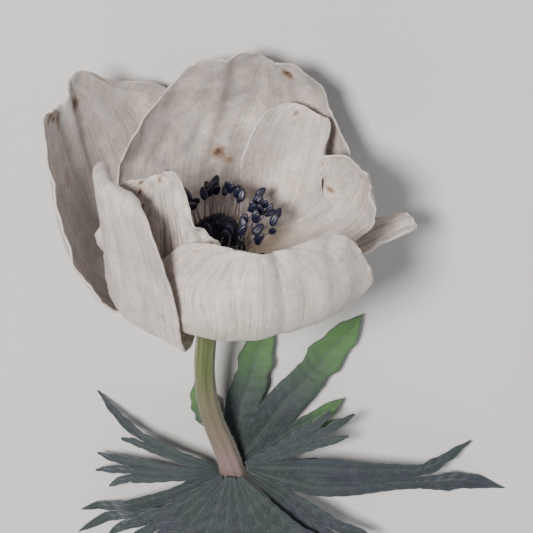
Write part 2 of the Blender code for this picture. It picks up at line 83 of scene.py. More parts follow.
def flowerMatrix():
    tipOver = Matrix.Rotation(math.radians(-(90.0 - flowerPose["faceRaise"])), 4, "X")
    turn = Matrix.Rotation(math.radians(-flowerPose["faceTurn"]), 4, "Z")
    return Matrix.Translation((0, 0, flowerPose["baseHeight"] * mm)) @ turn @ tipOver


onTable = restMatrix()
inFlower = onTable @ flowerMatrix()


# holds a point at least a blade's half thickness above the table
def aboveTable(spot, least):
    return Vector((spot.x, spot.y, max(spot.z, (least + 0.05) * mm)))


# marks a finished piece: it rides on the flower, and may stand for a solid
def seat(piece, node=None):
    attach(piece, rootBody)
    if node:
        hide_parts(node)


def linkNew(name, data):
    made = bpy.data.objects.new(name, data)
    bpy.context.scene.collection.objects.link(made)
    return made


def smooth(mesh):
    mesh.polygons.foreach_set("use_smooth", [True] * len(mesh.polygons))


def meshObject(name, bm, *skins):
    mesh = bpy.data.meshes.new(name)
    bm.to_mesh(mesh)
    bm.free()
    for skin in skins:
        mesh.materials.append(skin)
    smooth(mesh)
    return linkNew(name, mesh)


# gives a sheet its thickness; the second skin is its back
def thicken(piece, sheet):
    solid = piece.modifiers.new("thickness", "SOLIDIFY")
    solid.thickness = sheet["thickness"] * mm
    solid.offset = 0.0
    solid.material_offset = 1


# materials

# a fresh material and its empty tree
def newSkin(name):
    skin = bpy.data.materials.new(name)
    skin.use_nodes = True
    skin.node_tree.nodes.clear()
    return skin, skin.node_tree


# a value for a socket is either another node's output or a constant
def feed(tree, socket, value):
    if isinstance(value, bpy.types.NodeSocket):
        tree.links.new(value, socket)
    else:
        socket.default_value = colour(value) if socket.type == "RGBA" and len(value) == 3 else value


# of several sockets with one name, the one that the node's settings switch on
def liveSocket(sockets, name=None):
    return next(s for s in sockets if s.enabled and name in (None, s.name))


def geoNode(tree, kind, sockets=None, **settings):
    made = tree.nodes.new(kind)
    for key, value in settings.items():
        setattr(made, key, value)
    for key, value in (sockets or {}).items():
        feed(tree, liveSocket(made.inputs, key) if isinstance(key, str) else made.inputs[key], value)
    return made


def addNode(tree, kind, sockets=None, **settings):
    return geoNode(tree, "ShaderNode" + kind, sockets, **settings)


def colour(rgb):
    return (rgb[0], rgb[1], rgb[2], 1.0)


def ramp(tree, factor, *stops):
    made = addNode(tree, "ValToRGB", {"Fac": factor})
    band = made.color_ramp
    while len(band.elements) < len(stops):
        band.elements.new(0.5)
    for element, (place, value) in zip(band.elements, stops):
        element.position = place
        element.color = colour(value) if isinstance(value, tuple) else (value, value, value, 1.0)
    return made.outputs["Color"]


def doMath(tree, operation, first, second=0.0):
    return addNode(tree, "Math", {0: first, 1: second}, operation=operation).outputs[0]


def times(tree, first, second):
    return doMath(tree, "MULTIPLY", first, second)


# the base colour turned towards another by a factor, times a share
def tint(tree, base, factor, towards, share=1.0):
    factor = factor if share == 1.0 else times(tree, factor, share)
    made = addNode(tree, "Mix", {"Factor": factor, "A": base, "B": towards}, data_type="RGBA")
    return liveSocket(made.outputs)


# several heights, each with its weight
def addUp(tree, *layers):
    total = times(tree, *layers[0])
    for layer in layers[1:]:
        total = doMath(tree, "ADD", total, times(tree, *layer))
    return total


def remap(tree, value, low, high, toLow, toHigh):
    return addNode(tree, "MapRange", {"Value": value, "From Min": low, "From Max": high, "To Min": toLow,
                                      "To Max": toHigh}).outputs[0]


def painted(tree, name):
    return addNode(tree, "Attribute", attribute_name=name).outputs["Fac"]


def placeOf(tree):
    return addNode(tree, "TexCoord").outputs["Object"]


def noiseOn(tree, vector, scale, detail=3.0, roughness=0.55):
    return addNode(tree, "TexNoise", {
        "Vector": vector, "Scale": scale, "Detail": detail, "Roughness": roughness}).outputs["Fac"]


def stretch(tree, vector, scale, shift=(0.0, 0.0, 0.0)):
    return addNode(tree, "Mapping", {"Vector": vector, "Location": shift, "Scale": scale}).outputs["Vector"]


# thin wandering lines, as veins are: where a noise drawn out along the blade crosses its middle value
def veinLines(tree, blade, count, run, thin, shift):
    field = noiseOn(tree, stretch(tree, blade, (count, run, 1.0), shift), 1.0, 2.0, 0.45)
    away = doMath(tree, "ABSOLUTE", doMath(tree, "SUBTRACT", field, 0.5))
    return ramp(tree, away, (thin * 0.2, 1.0), (thin, 0.0))


# one Principled shader with a bump; plain numbers go on its own sockets
def finishSkin(tree, base, rough, height, bump, constants):
    sockets = {"Base Color": base, "Roughness": rough}
    if height is not None:
        made = addNode(tree, "Bump", {"Height": height, "Strength": bump[0], "Distance": bump[1] * mm})
        sockets["Normal"] = made.outputs["Normal"]
    sockets.update(constants)
    shader = addNode(tree, "BsdfPrincipled", sockets)
    out = addNode(tree, "OutputMaterial")
    tree.links.new(shader.outputs["BSDF"], out.inputs["Surface"])


# tepal tissue: veins and threads are lines to the centimetre across the widest part
tepalTissue = dict(
    # the margin colour below is a painted highlight along the tepal rims
    pale=(0.66, 0.585, 0.540), rimHighlight=(0.84, 0.78, 0.73), warm=(0.57, 0.455, 0.36),
    shade=(0.215, 0.20, 0.195), vein=(0.215, 0.195, 0.175), rust=(0.072, 0.034, 0.018),
    amber=(0.27, 0.165, 0.10), veins=12.0, threads=38.0, roughness=(0.48, 0.68), bump=(0.32, 0.20),
    subsurface=0.12, subsurfaceScale=0.0010, sheen=0.12,
)


# off-white tissue: forked veins along the blade, grey mottling, rusty specks by the margin
def tepalSkin(name, tepal, outside):
    skin, tree = newSkin(name)
    look = tepalTissue
    blade = addNode(tree, "UVMap", uv_map="blade").outputs["UV"]
    across, along, _ = addNode(tree, "SeparateXYZ", {"Vector": blade}).outputs
    place, rim = placeOf(tree), painted(tree, "rim")
    wide = tepal["width"] / 10
    shift = (tepal["azimuth"], 0.0, 1.7 if outside else 0.0)
    wander = noiseOn(tree, stretch(tree, blade, (3.0, 2.2, 1.0), shift), 1.0, 3.0)
    wander = times(tree, doMath(tree, "SUBTRACT", wander, 0.5), 0.035)
    sideways = doMath(tree, "ADD", across, wander)
    bent = addNode(tree, "CombineXYZ", {"X": sideways, "Y": along}).outputs[0]
    broad = noiseOn(tree, stretch(tree, bent, (wide * 1.6, 2.6, 1.0), shift), 1.0, 4.0)
    cloud = noiseOn(tree, place, 105.0, 4.0, 0.62)
    patch = noiseOn(tree, stretch(tree, place, (1.0, 1.0, 1.0), (0.3, 0.1, 0.7)), 210.0, 3.0, 0.6)
    mottle = noiseOn(tree, place, 620.0, 4.0, 0.7)
    crinkle = noiseOn(tree, stretch(tree, bent, (wide * 14.0, 30.0, 1.0), shift), 1.0, 3.0, 0.6)
    grain = noiseOn(tree, place, 1900.0, 3.0, 0.65)
    # the veins come and go in patches
    shown = remap(tree, patch, 0.36, 0.62, 0.35, 1.0)
    veins = times(tree, veinLines(tree, bent, wide * look["veins"], 1.0, 0.050, shift), shown)
    threads = times(tree, veinLines(tree, bent, wide * look["threads"], 3.2, 0.085, shift), shown)

    base = tint(tree, look["pale"], ramp(tree, cloud, (0.40, 0.0), (0.66, 1.0)), look["shade"], tepal["grey"])
    base = tint(tree, base, ramp(tree, broad, (0.46, 0.0), (0.74, 1.0)), look["shade"], tepal["streak"])
    base = tint(tree, base, ramp(tree, patch, (0.5, 0.0), (0.72, 1.0)), look["warm"], 0.35)
    base = tint(tree, base, ramp(tree, mottle, (0.48, 0.0), (0.70, 1.0)), look["shade"], 0.42)
    base = tint(tree, base, veins, look["vein"], tepal["veinShow"])
    base = tint(tree, base, threads, look["vein"], tepal["veinShow"] * 0.5)
    # low in the bowl the inside turns creamy and the outside a darker greenish grey, partly its own olive
    # tint and partly painted shade towards the bottom
    foot = ramp(tree, along, (tepal["footReach"] * 0.25, 1.0), (tepal["footReach"], 0.0))
    foot = times(tree, times(tree, foot, 0.78), ramp(tree, broad, (0.25, 1.0), (0.75, 0.55)))
    base = tint(tree, base, foot, tepal["footOliveAndShade"] if outside else tepal["footInside"])
    # a paler, broken line along the margin: a painted highlight for light coming through the tissue where it
    # thins out
    edge = times(tree, ramp(tree, rim, (0.955, 0.0), (1.0, 1.0)), ramp(tree, mottle, (0.4, 0.0), (0.56, 1.0)))
    base = tint(tree, base, edge, look["rimHighlight"], 0.32)
    # rusty stains, broken up by the grain
    broken = times(tree, painted(tree, "stain"), ramp(tree, mottle, (0.34, 0.5), (0.62, 1.0)))
    base = tint(tree, base, ramp(tree, broken, (0.10, 0.0), (0.42, 0.85)), look["amber"])
    base = tint(tree, base, ramp(tree, broken, (0.36, 0.0), (0.80, 1.0)), look["rust"])
    specks = ramp(tree, noiseOn(tree, place, 480.0, 2.0, 0.5), (0.69, 0.0), (0.75, 1.0))
    specks = times(tree, specks, ramp(tree, rim, (0.15, 0.0), (0.80, 1.0)))
    base = tint(tree, base, specks, look["amber"], 0.6)

    height = addUp(tree, (veins, -0.5), (threads, -0.4), (crinkle, 1.2), (mottle, 0.5), (grain, 0.25))
    finishSkin(tree, base, remap(tree, cloud, 0.3, 0.7, *look["roughness"]), height, look["bump"], {
        "Subsurface Weight": look["subsurface"], "Subsurface Radius": (1.0, 0.75, 0.6),
        "Subsurface Scale": look["subsurfaceScale"], "Sheen Weight": look["sheen"], "Sheen Roughness": 0.5,
        "Specular IOR Level": 0.3})
    return skin


# tepals

# the same blade as the solid's, with finer forms on it. Its tuples read: folds (depth, count) along it,
# crumple (depth, size) all over, frill (depth, size, reach) by the margin, lace (depth, size, reach) at its
# very edge, nicks (depth, size) in the outline, roll (start, radius, stretch, lean) of the tip,
# creases (place, depth, half width, lean), stains (across, along, size, strength)
tepalCommon = dict(
    layerStep=1.35, tipCrowding=1.5, thickness=0.42, fade=1, sweep=2.0, waves=3, hook=0.0,
    # the outside foot colour is partly an olive tint and partly painted shade
    footReach=0.34, footInside=(0.50, 0.40, 0.26), footOliveAndShade=(0.27, 0.28, 0.155),
    grey=0.4, streak=0.3, veinShow=0.42, bites=(), curls=(), roll=(), calmEdge=1.0,
    folds=(0.4, 7.0), crumple=(0.12, 5.0), frill=(0.45, 3.6, 5.0), lace=(0.16, 1.1, 1.8), nicks=(0.014, 2.4),
    creases=(), stains=(), grid=(84, 104),
)
tepals = {
    "tepal_back": dict(
        azimuth=84.1, rib=((3.5, 0), (22.1, -6.1), (36.7, 3.3), (28.8, 28.8)), width=58.5,
        widest=0.68, base=0.22, tip=0.08, blunt=1.3, layer=2, skew=0.12, flat=(1.5, -5.5), lean=-8.3,
        ruffle=(0.5, 0.3), hem=(0.009, 5.57, -0.74), scallop=(0.014, 4.5, 0.0), crease=(-0.1, 0.7, 0.1),
        bites=((-1, 0.9, 0.03, 0.07), (1, 0.86, 0.09, 0.1)), grid=(120, 130), grey=0.85, streak=0.7,
        creases=((0.26, 1.3, 0.05, 0.05), (-0.42, -0.9, 0.06, 0.0), (0.02, -0.7, 0.06, 0.1)),
        stains=((0.15, 0.59, 1.5, 1.0), (0.07, 0.56, 1.0, 0.6), (-0.45, 0.96, 1.0, 1.0),
                (0.25, 0.83, 1.0, 0.35), (-0.2, 0.75, 1.6, 0.28), (0.5, 0.9, 1.2, 0.3))),
    "tepal_left": dict(
        azimuth=164.6, rib=((3.5, 0), (25.8, -15.0), (27.2, 5.0), (32.1, 27.8)), width=56.9,
        widest=0.59, base=0.26, tip=0.15, blunt=2.1, layer=3, skew=-0.16, flat=(4.8, 2.6), lean=-0.7,
        ruffle=(0.0, 0.5), hem=(0.027, 3.07, -1.48), scallop=(0.02, 4.0, 1.0), crease=(-0.3, -0.6, 0.14),
        bites=((1, 0.9, 0.05, 0.06),), grid=(120, 130), grey=0.45, streak=0.35,
        creases=((-0.12, 0.9, 0.05, -0.25), (0.02, -0.8, 0.045, -0.3)),
        stains=((-0.28, 0.93, 1.5, 1.0), (0.05, 0.95, 1.4, 0.85), (0.35, 0.98, 1.0, 0.8),
                (0.62, 0.985, 1.0, 0.9), (0.65, 0.94, 0.9, 0.6), (-0.9, 0.96, 1.0, 0.5),
                (0.1, 0.75, 2.2, 0.3))),
    "tepal_front_left": dict(
        azimuth=242.3, rib=((3.5, 0), (33.4, -15.8), (20.6, 2.0), (30.4, 31.7)), width=21.7,
        widest=0.84, base=0.27, tip=0.22, blunt=4.0, layer=2, skew=0.12, flat=(-2.6, 4.3), fade=0, lean=-17.1,
        sweep=1.5, ruffle=(0.0, 0.0), hem=(0.029, 0.41, 1.77), scallop=(0.02, 3.0, 0.5),
        crease=(-0.5, 0.35, 0.2), hook=0.8, roll=((0.93, 1.9, 0.05, 0.25),), grid=(90, 150),
        folds=(0.4, 5.0), lace=(0.15, 1.3, 1.6),
        frill=(0.3, 3.8, 3.0), veinShow=0.55),
    "tepal_inner_left": dict(
        azimuth=238.0, rib=((3.5, 0), (16.1, -1.5), (30.4, -0.4), (20.4, 28.9)), width=33.0,
        widest=0.63, base=0.27, tip=0.05, blunt=1.5, layer=0, skew=0.25, flat=(5.6, -1.9), lean=-6.9,
        ruffle=(0.0, 0.8), waves=4, hem=(0.026, 2.27, -0.47), scallop=(0.02, 5.0, 0.2),
        crease=(0.4, 0.4, 0.16), bites=((1, 0.93, 0.03, 0.1), (1, 0.6, 0.06, 0.08)), grid=(130, 150),
        folds=(0.6, 9.0), frill=(2.0, 2.4, 4.2), calmEdge=0.1, lace=(0.4, 1.0, 1.9), nicks=(0.03, 1.8),
        veinShow=0.75, grey=0.25,
        stains=((-0.70, 0.985, 0.5, 0.8), (-0.14, 0.92, 0.45, 0.75), (-0.42, 0.96, 0.5, 0.8),
                (-0.30, 0.87, 0.4, 0.6), (0.92, 0.85, 0.7, 0.5), (0.3, 0.98, 0.5, 0.6))),
    "tepal_front": dict(
        azimuth=293.8, rib=((3.5, 0), (28.0, -10.1), (38.2, 2.6), (27.3, 20.4)), width=50.8,
        widest=0.77, base=0.21, tip=0.13, blunt=1.6, layer=1, skew=-0.09, flat=(-7.0, 4.0), lean=-3.0,
        ruffle=(0.0, 0.3), hem=(0.031, 1.4, -1.84), scallop=(0.02, 4.0, 2.0), crease=(-0.4, 0.1, 0.2),
        hook=0.3, grid=(130, 140), veinShow=0.45, grey=0.3, streak=0.4, lace=(0.28, 1.5, 2.0),
        frill=(0.6, 4.2, 4.5),
        # the front tepal's foot reaches far up; on its outside that darkening is partly painted shade
        footReach=0.76, creases=((0.1, 0.7, 0.05, 0.1), (-0.25, 0.5, 0.04, -0.1), (0.45, -0.6, 0.06, 0.1))),
    "tepal_inner_right": dict(
        azimuth=41.3, rib=((3.5, 0), (24.6, -4.5), (21.0, 1.7), (29.1, 21.9)), width=18.3,
        widest=0.72, base=0.18, tip=0.48, blunt=3.0, layer=1, skew=0.37, flat=(2.4, -4.5), lean=7.2,
        ruffle=(0.0, 0.3), hem=(-0.003, 2.25, 1.37), scallop=(0.02, 3.0, 0.0), crease=(0.3, 0.0, 0.3),
        hook=0.4, bites=((-1, 0.9, 0.05, 0.08),), curls=((-1, 0.68, 0.66, 1.04, 2.3),), folds=(0.2, 4.0),
        grey=0.45,
        stains=((0.79, 0.70, 0.5, 0.4), (-0.9, 0.74, 0.7, 0.6), (0.1, 0.62, 0.7, 0.3),
                (0.5, 0.97, 0.6, 0.6))),
    "tepal_right": dict(
        azimuth=13.6, rib=((3.5, 0), (30.0, -1.8), (34.0, 12.0), (30.4, 20.2)), width=20.0,
        widest=0.93, base=0.22, tip=0.05, blunt=1.9, layer=0, skew=0.03, flat=(1.6, -5.9), lean=-3.3,
        ruffle=(0.4, 0.0), hem=(0.087, 0.84, -1.84), scallop=(0.02, 3.5, 0.0), crease=(0.4, 0.2, 0.2),
        bites=((-1, 0.92, 0.03, 0.16),), curls=((1, 0.72, 0.4, 1.04, 2.1),),
        stains=((0.88, 0.54, 0.9, 0.9), (0.21, 0.92, 0.6, 0.8), (-0.3, 0.7, 1.6, 0.25),
                (-0.7, 0.97, 0.6, 0.7))),
    "tepal_far_right": dict(
        azimuth=13.1, rib=((3.5, 0), (20.3, -9.4), (34.0, 7.1), (44.2, 6.9)), width=12.8,
        widest=0.65, base=0.37, tip=0.12, blunt=2.2, layer=3, skew=-0.02, flat=(-3.5, 0.6), lean=2.7,
        ruffle=(0.0, 0.0), waves=2, hem=(0.0, 2.0, 0.0), scallop=(0.02, 2.5, 0.0), crease=(0.3, 0.0, 0.3),
        grid=(50, 90), grey=0.15),
}


def ribPoint(rib, t):
    k = 1.0 - t
    weights = (k**3, 3 * k * k * t, 3 * k * t * t, t**3)
    slopes = (-3 * k * k, 3 * k * k - 6 * k * t, 6 * k * t - 3 * t * t, 3 * t * t)
    r, h = (sum(w * p[i] for w, p in zip(weights, rib)) for i in (0, 1))
    dr, dh = (sum(w * p[i] for w, p in zip(slopes, rib)) for i in (0, 1))
    length = math.hypot(dr, dh)
    return r, h, dr / length, dh / length


def ribLength(rib, steps=24):
    spots = [ribPoint(rib, i / steps)[:2] for i in range(steps + 1)]
    return sum(math.dist(a, b) for a, b in zip(spots, spots[1:]))


def halfWidth(tepal, v, side):
    if v < tepal["widest"]:
        share = tepal["base"] + (1 - tepal["base"]) * math.sin(math.pi / 2 * v / tepal["widest"]) ** 0.9
    else:
        q = (v - tepal["widest"]) / (1 - tepal["widest"])
        share = tepal["tip"] + (1 - tepal["tip"]) * math.sqrt(clamp(1 - q ** tepal["blunt"]))
    depth, count, start = tepal["scallop"]
    share *= 1 + depth * v * math.sin(2 * math.pi * count * v + start + side)
    for biteSide, place, reach, depth in tepal["bites"]:
        if biteSide == side:
            share *= 1 - depth * math.exp(-(((v - place) / reach) ** 2))
    depth, size = tepal["nicks"]
    share *= 1 + depth * v * noise.noise(Vector((side * 9.0, v * tepal["length"] / size, tepal["azimuth"])))
    return tepal["width"] / 2 * share * (1 + tepal["skew"] * side)


# 1 on the margin, falling to 0 at the frill's reach inside it
def rimNearness(tepal, u, v, half):
    sideways = (1 - abs(u)) * half
    endways = (1 - v) * tepal["length"]
    away = sideways * endways / (sideways + endways) if sideways + endways > 0 else 0.0
    return clamp(1 - away / tepal["frill"][2])


def tepalPoint(tepal, u, v):
    side = 1 if u > 0 else -1 if u < 0 else 0
    half = halfWidth(tepal, v, side)
    out = u * half / (tepal["width"] / 2)
    amount, count, start = tepal["hem"]
    along = v * (1 + amount * v * v * math.sin(count * math.pi * out + start))
    rolled = 0.0
    for begin, radius, stretch, lean in tepal["roll"]:
        along += stretch * v ** 8
        over = max(0.0, along - begin) * tepal["length"]
        radius *= 1 + lean * u
        turn = over / radius
        rolled += radius * (1 - math.cos(turn))
        along -= (over - radius * math.sin(turn)) / tepal["length"]
    r, h, dr, dh = ribPoint(tepal["rib"], along)
    spread = u * half / max(r, 5.0)
    flat = tepal["flat"][1] if u > 0 else tepal["flat"][0]
    ruffle = tepal["ruffle"][1] if u > 0 else tepal["ruffle"][0]
    inward = -flat * abs(out if tepal["fade"] else u) ** 2.2 * clamp(v / 0.7) ** 1.5
    inward += ruffle * abs(u) ** 3 * v * (1 - math.cos(2 * math.pi * tepal["waves"] * v))
    place, depth, reach = tepal["crease"]
    inward += depth * math.exp(-(((out - place) / reach) ** 2)) * v**1.5
    inward += tepal["hook"] * clamp((v - 0.84) / 0.16) ** 2
    inward += rolled
    for curlSide, begin, low, high, curl in tepal["curls"]:
        lift = math.sin(math.pi * clamp((v - low) / (high - low))) if low < v < high else 0.0
        inward += curl * lift * clamp((curlSide * u - begin) / (1 - begin)) ** 2
    # finer forms than the solid's
    rim = rimNearness(tepal, u, v, half)
    seed = tepal["azimuth"]
    depth, count = tepal["folds"]
    inward += depth * clamp(v * 1.4) * noise.noise(Vector((out * count, v * 1.4, seed)))
    depth, size = tepal["crumple"]
    spot = Vector((out * tepal["width"] / 2, v * tepal["length"], seed))
    inward += depth * noise.noise(spot / size) * clamp(v * 2)
    depth, size, reach = tepal["frill"]
    calm = tepal["calmEdge"] if u < 0 else 1.0
    inward += calm * depth * rim * rim * noise.noise(spot / size + Vector((3.0, 0, 0))) * noiseGain
    depth, size, lace = tepal["lace"]
    edge = clamp(1 - (1 - rim) * reach / lace)
    inward += calm * depth * edge * noise.noise(spot / size + Vector((0, 5.0, 0))) * noiseGain
    for place, depth, reach, lean in tepal["creases"]:
        centre = place + lean * (1 - v)
        inward += depth * math.exp(-(((out - centre) / reach) ** 2)) * clamp((v - 0.25) / 0.5)
    r, h = r - dh * inward, h + dr * inward
    apart, free = tepal["layer"] * tepal["layerStep"], clamp(v / 0.2)
    r, h = r + dh * apart * free, h - apart * (1 + (dr - 1) * free)
    azimuth = math.radians(tepal["azimuth"]) + spread + math.radians(tepal["lean"]) * v ** tepal["sweep"]
    return Vector((r * math.cos(azimuth), r * math.sin(azimuth), h)) * mm, rim


def stainAt(tepal, u, v, half):
    total = 0.0
    for across, along, size, strength in tepal["stains"]:
        away = math.hypot((u - across) * half, (v - along) * tepal["length"])
        total += strength * math.exp(-((away / size) ** 2))
    return clamp(total)


def buildTepal(name):
    tepal = {**tepalCommon, **tepals[name]}
    tepal["length"] = ribLength(tepal["rib"])
    columns, rows = tepal["grid"]
    bm = bmesh.new()
    bmesh.ops.create_grid(bm, x_segments=columns, y_segments=rows, size=1.0)
    uvs = bm.loops.layers.uv.new("blade")
    rims = bm.verts.layers.float.new("rim")
    stains = bm.verts.layers.float.new("stain")
    flats = {}
    for vertex in bm.verts:
        u, v = vertex.co.x, 1 - ((1 - vertex.co.y) / 2) ** tepal["tipCrowding"]
        flats[vertex] = (u, v)
        spot, rim = tepalPoint(tepal, u, v)
        vertex.co = aboveTable(inFlower @ spot, tepal["thickness"] / 2)
        vertex[rims] = rim
        vertex[stains] = stainAt(tepal, u, v, halfWidth(tepal, v, 1 if u > 0 else -1))
    for face in bm.faces:
        for loop in face.loops:
            u, v = flats[loop.vert]
            loop[uvs].uv = ((u + 1) / 2, v)
    # the sheet's front is the side that looks into the bowl
    bm.normal_update()
    middle = min(bm.faces, key=lambda f: sum(math.dist(flats[v], (0.0, 0.5)) ** 2 for v in f.verts))
    axis = inFlower @ Vector((0, 0, 0.03))
    if middle.normal.dot(axis - middle.calc_center_median()) < 0:
        bmesh.ops.reverse_faces(bm, faces=bm.faces[:])
    inside = tepalSkin(name + "Inside", tepal, False)
    outside = tepalSkin(name + "Outside", tepal, True)
    piece = meshObject(name + "_blade", bm, inside, outside)
    thicken(piece, tepal)
    seat(piece, name)


for tepalName in tepals:
    buildTepal(tepalName)
print("anemone: tepals made")

# the dark centre

centre = dict(
    shift=(0.8, 0.0), foot=0.6, radius=5.0, rise=6.8, grid=(64, 32),
    ringInner=5.5, ringOuter=7.9, ringFoot=0.62, ringRise=1.3, ringThickness=0.3, ringGrid=(140, 12),
)


# a spot measured from the middle of the dark centre
def inCentre(x, y, z):
    return inFlower @ (Vector((x + centre["shift"][0], y + centre["shift"][1], z)) * mm)


# a geometry tree with named inputs; each is (name, socket kind, default)
def treeWithInputs(name, *inputs):
    tree = bpy.data.node_groups.new(name, "GeometryNodeTree")
    tree.is_modifier = True
    tree.interface.new_socket(name="Geometry", in_out="INPUT", socket_type="NodeSocketGeometry")
    for label, kind, value in inputs:
        made = tree.interface.new_socket(name=label, in_out="INPUT", socket_type="NodeSocket" + kind)
        if value is not None:
            made.default_value = value
    tree.interface.new_socket(name="Geometry", in_out="OUTPUT", socket_type="NodeSocketGeometry")
    return tree, tree.nodes.new("NodeGroupInput"), tree.nodes.new("NodeGroupOutput")


# the end of every tree: instances made real, with their material
def finishTree(tree, shape, finish, leave):
    real = geoNode(tree, "GeometryNodeRealizeInstances", {"Geometry": shape}).outputs["Geometry"]
    last = geoNode(tree, "GeometryNodeSetMaterial", {"Geometry": real, "Material": finish})
    tree.links.new(last.outputs["Geometry"], leave.inputs["Geometry"])
    return tree


# puts the tree on an object, sets its inputs, and keeps the result as a plain mesh
def runTree(holder, tree, values, name):
    modifier = holder.modifiers.new("grow", "NODES")
    modifier.node_group = tree
    for item in tree.interface.items_tree:
        if item.item_type == "SOCKET" and item.in_out == "INPUT" and item.name in values:
            modifier[item.identifier] = values[item.name]
    bpy.context.view_layer.update()
    evaluated = holder.evaluated_get(bpy.context.evaluated_depsgraph_get())
    mesh = bpy.data.meshes.new_from_object(evaluated)
    mesh.name = name
    bpy.data.objects.remove(holder, do_unlink=True)
    return linkNew(name, mesh)


# small tapered hairs or knobs standing on a surface, leaning and sized at random
def scatterTree(name):
    tree, entry, leave = treeWithInputs(
        name, ("Density", "Float", 1.0), ("Length", "Float", 0.001), ("Foot Radius", "Float", 0.0001),
        ("Tip Share", "Float", 0.2), ("Sides", "Int", 4), ("Lean", "Float", 0.5),
        ("Size Spread", "Float", 0.4),
        ("Seed", "Int", 1), ("Finish", "Material", None), ("Where", "String", "grow"))
    given = entry.outputs
    grow = geoNode(tree, "GeometryNodeInputNamedAttribute", {"Name": given["Where"]}, data_type="FLOAT")
    points = geoNode(tree, "GeometryNodeDistributePointsOnFaces", {
        "Mesh": given["Geometry"], "Seed": given["Seed"],
        "Density": times(tree, given["Density"], grow.outputs["Attribute"])})
    cone = geoNode(tree, "GeometryNodeMeshCone", {
        "Vertices": given["Sides"], "Side Segments": 1, "Fill Segments": 1,
        "Radius Top": times(tree, given["Foot Radius"], given["Tip Share"]),
        "Radius Bottom": given["Foot Radius"], "Depth": given["Length"]})
    leanBack = times(tree, given["Lean"], -1.0)
    low = addNode(tree, "CombineXYZ", {"X": leanBack, "Y": leanBack, "Z": -3.14})
    high = addNode(tree, "CombineXYZ", {"X": given["Lean"], "Y": given["Lean"], "Z": 3.14})
    tilt = geoNode(tree, "FunctionNodeRandomValue", {
        "Seed": given["Seed"], "Min": low.outputs[0], "Max": high.outputs[0]}, data_type="FLOAT_VECTOR")
    turned = geoNode(tree, "FunctionNodeRotateRotation", {
        "Rotation": points.outputs["Rotation"], "Rotate By": tilt.outputs["Value"]}, rotation_space="LOCAL")
    size = geoNode(tree, "FunctionNodeRandomValue", {
        "Seed": given["Seed"], "Min": doMath(tree, "SUBTRACT", 1.0, given["Size Spread"]),
        "Max": doMath(tree, "ADD", 1.0, given["Size Spread"])}, data_type="FLOAT")
    stood = geoNode(tree, "GeometryNodeInstanceOnPoints", {
        "Points": points.outputs["Points"], "Instance": cone.outputs["Mesh"],
        "Rotation": turned.outputs["Rotation"], "Scale": liveSocket(size.outputs)})
    return finishTree(tree, stood.outputs["Instances"], given["Finish"], leave)


scatter = scatterTree("scatterHairs")


# copies a surface that has a grow attribute and keeps only what grows on it
def scatterOn(source, name, look, skin):
    made = runTree(linkNew(name + "Bed", source), scatter, {
        "Density": look["density"] * 1e6, "Length": look["length"] * mm, "Foot Radius": look["radius"] * mm,
        "Tip Share": look["tipShare"], "Sides": look["sides"], "Lean": look["lean"],
        "Size Spread": look["spread"], "Seed": look["seed"], "Finish": skin, "Where": "grow"}, name)
    smooth(made.data)
    seat(made)


seedHeadLook = dict(
    skin=(0.008, 0.007, 0.012), tip=(0.035, 0.028, 0.055), roughness=0.6, bump=(0.8, 0.3),
    styles=dict(density=9.0, length=0.8, radius=0.15, tipShare=0.4, sides=5, lean=0.45, spread=0.4, seed=4),
)


def seedHeadSkin():
    skin, tree = newSkin("seedHeadSkin")
    place = placeOf(tree)
    knobs = noiseOn(tree, place, 900.0, 3.0)
    base = tint(tree, seedHeadLook["skin"], ramp(tree, knobs, (0.42, 0.0), (0.70, 1.0)), seedHeadLook["tip"])
    finishSkin(tree, base, seedHeadLook["roughness"], knobs, seedHeadLook["bump"], {
        "Sheen Weight": 0.25, "Sheen Tint": (0.5, 0.45, 0.8)})
    return skin


def buildSeedHead():
    bm = bmesh.new()
    turns, rises = centre["grid"]
    bmesh.ops.create_uvsphere(bm, u_segments=turns, v_segments=rises, radius=1.0)
    bmesh.ops.delete(bm, geom=[v for v in bm.verts if v.co.z < -0.01], context="VERTS")
    bmesh.ops.contextual_create(bm, geom=[e for e in bm.edges if e.is_boundary])
    grow = bm.verts.layers.float.new("grow")
    for vertex in bm.verts:
        way = vertex.co.copy()
        lump = 1 + 0.05 * noise.noise(way * 4.0) * clamp(way.z * 3)
        vertex.co = inCentre(way.x * centre["radius"] * lump, way.y * centre["radius"] * lump,
                             centre["foot"] + way.z * centre["rise"] * lump)
        vertex[grow] = 1.0 if way.z > 0.03 else 0.0
    bmesh.ops.recalc_face_normals(bm, faces=bm.faces[:])
    skin = seedHeadSkin()
    dome = meshObject("seed_head_dome", bm, skin)
    seat(dome, "seed_head")
    scatterOn(dome.data, "seed_head_styles", seedHeadLook["styles"], skin)


buildSeedHead()
print("anemone: seed head made")

# stamens

# the same draws, in the same order, as the solid's, so each stamen stands where its solid does
stamens = dict(
    seed=11, count=70, crowding=0.35, reach=(5.4, 14.2), rootHeight=1.3, height=13.4, droop=0.47, bend=0.9,
    filamentRadius=0.15, filamentSides=7, steps=7,
    antherWide=0.80, antherDeep=0.64, antherHalf=1.42, antherFoot=0.8,
    filament=(0.34, 0.28, 0.34), filamentFoot=(0.44, 0.37, 0.29), filamentShade=(0.14, 0.10, 0.17),
    # the anthers' lighter blue is a painted highlight along the crest of each pollen sac
    anther=(0.0025, 0.0030, 0.009), antherHighlight=(0.012, 0.017, 0.058), antherTone=(0.012, 0.010, 0.032),
    disc=(0.42, 0.35, 0.22), discDark=(0.16, 0.12, 0.12),
)


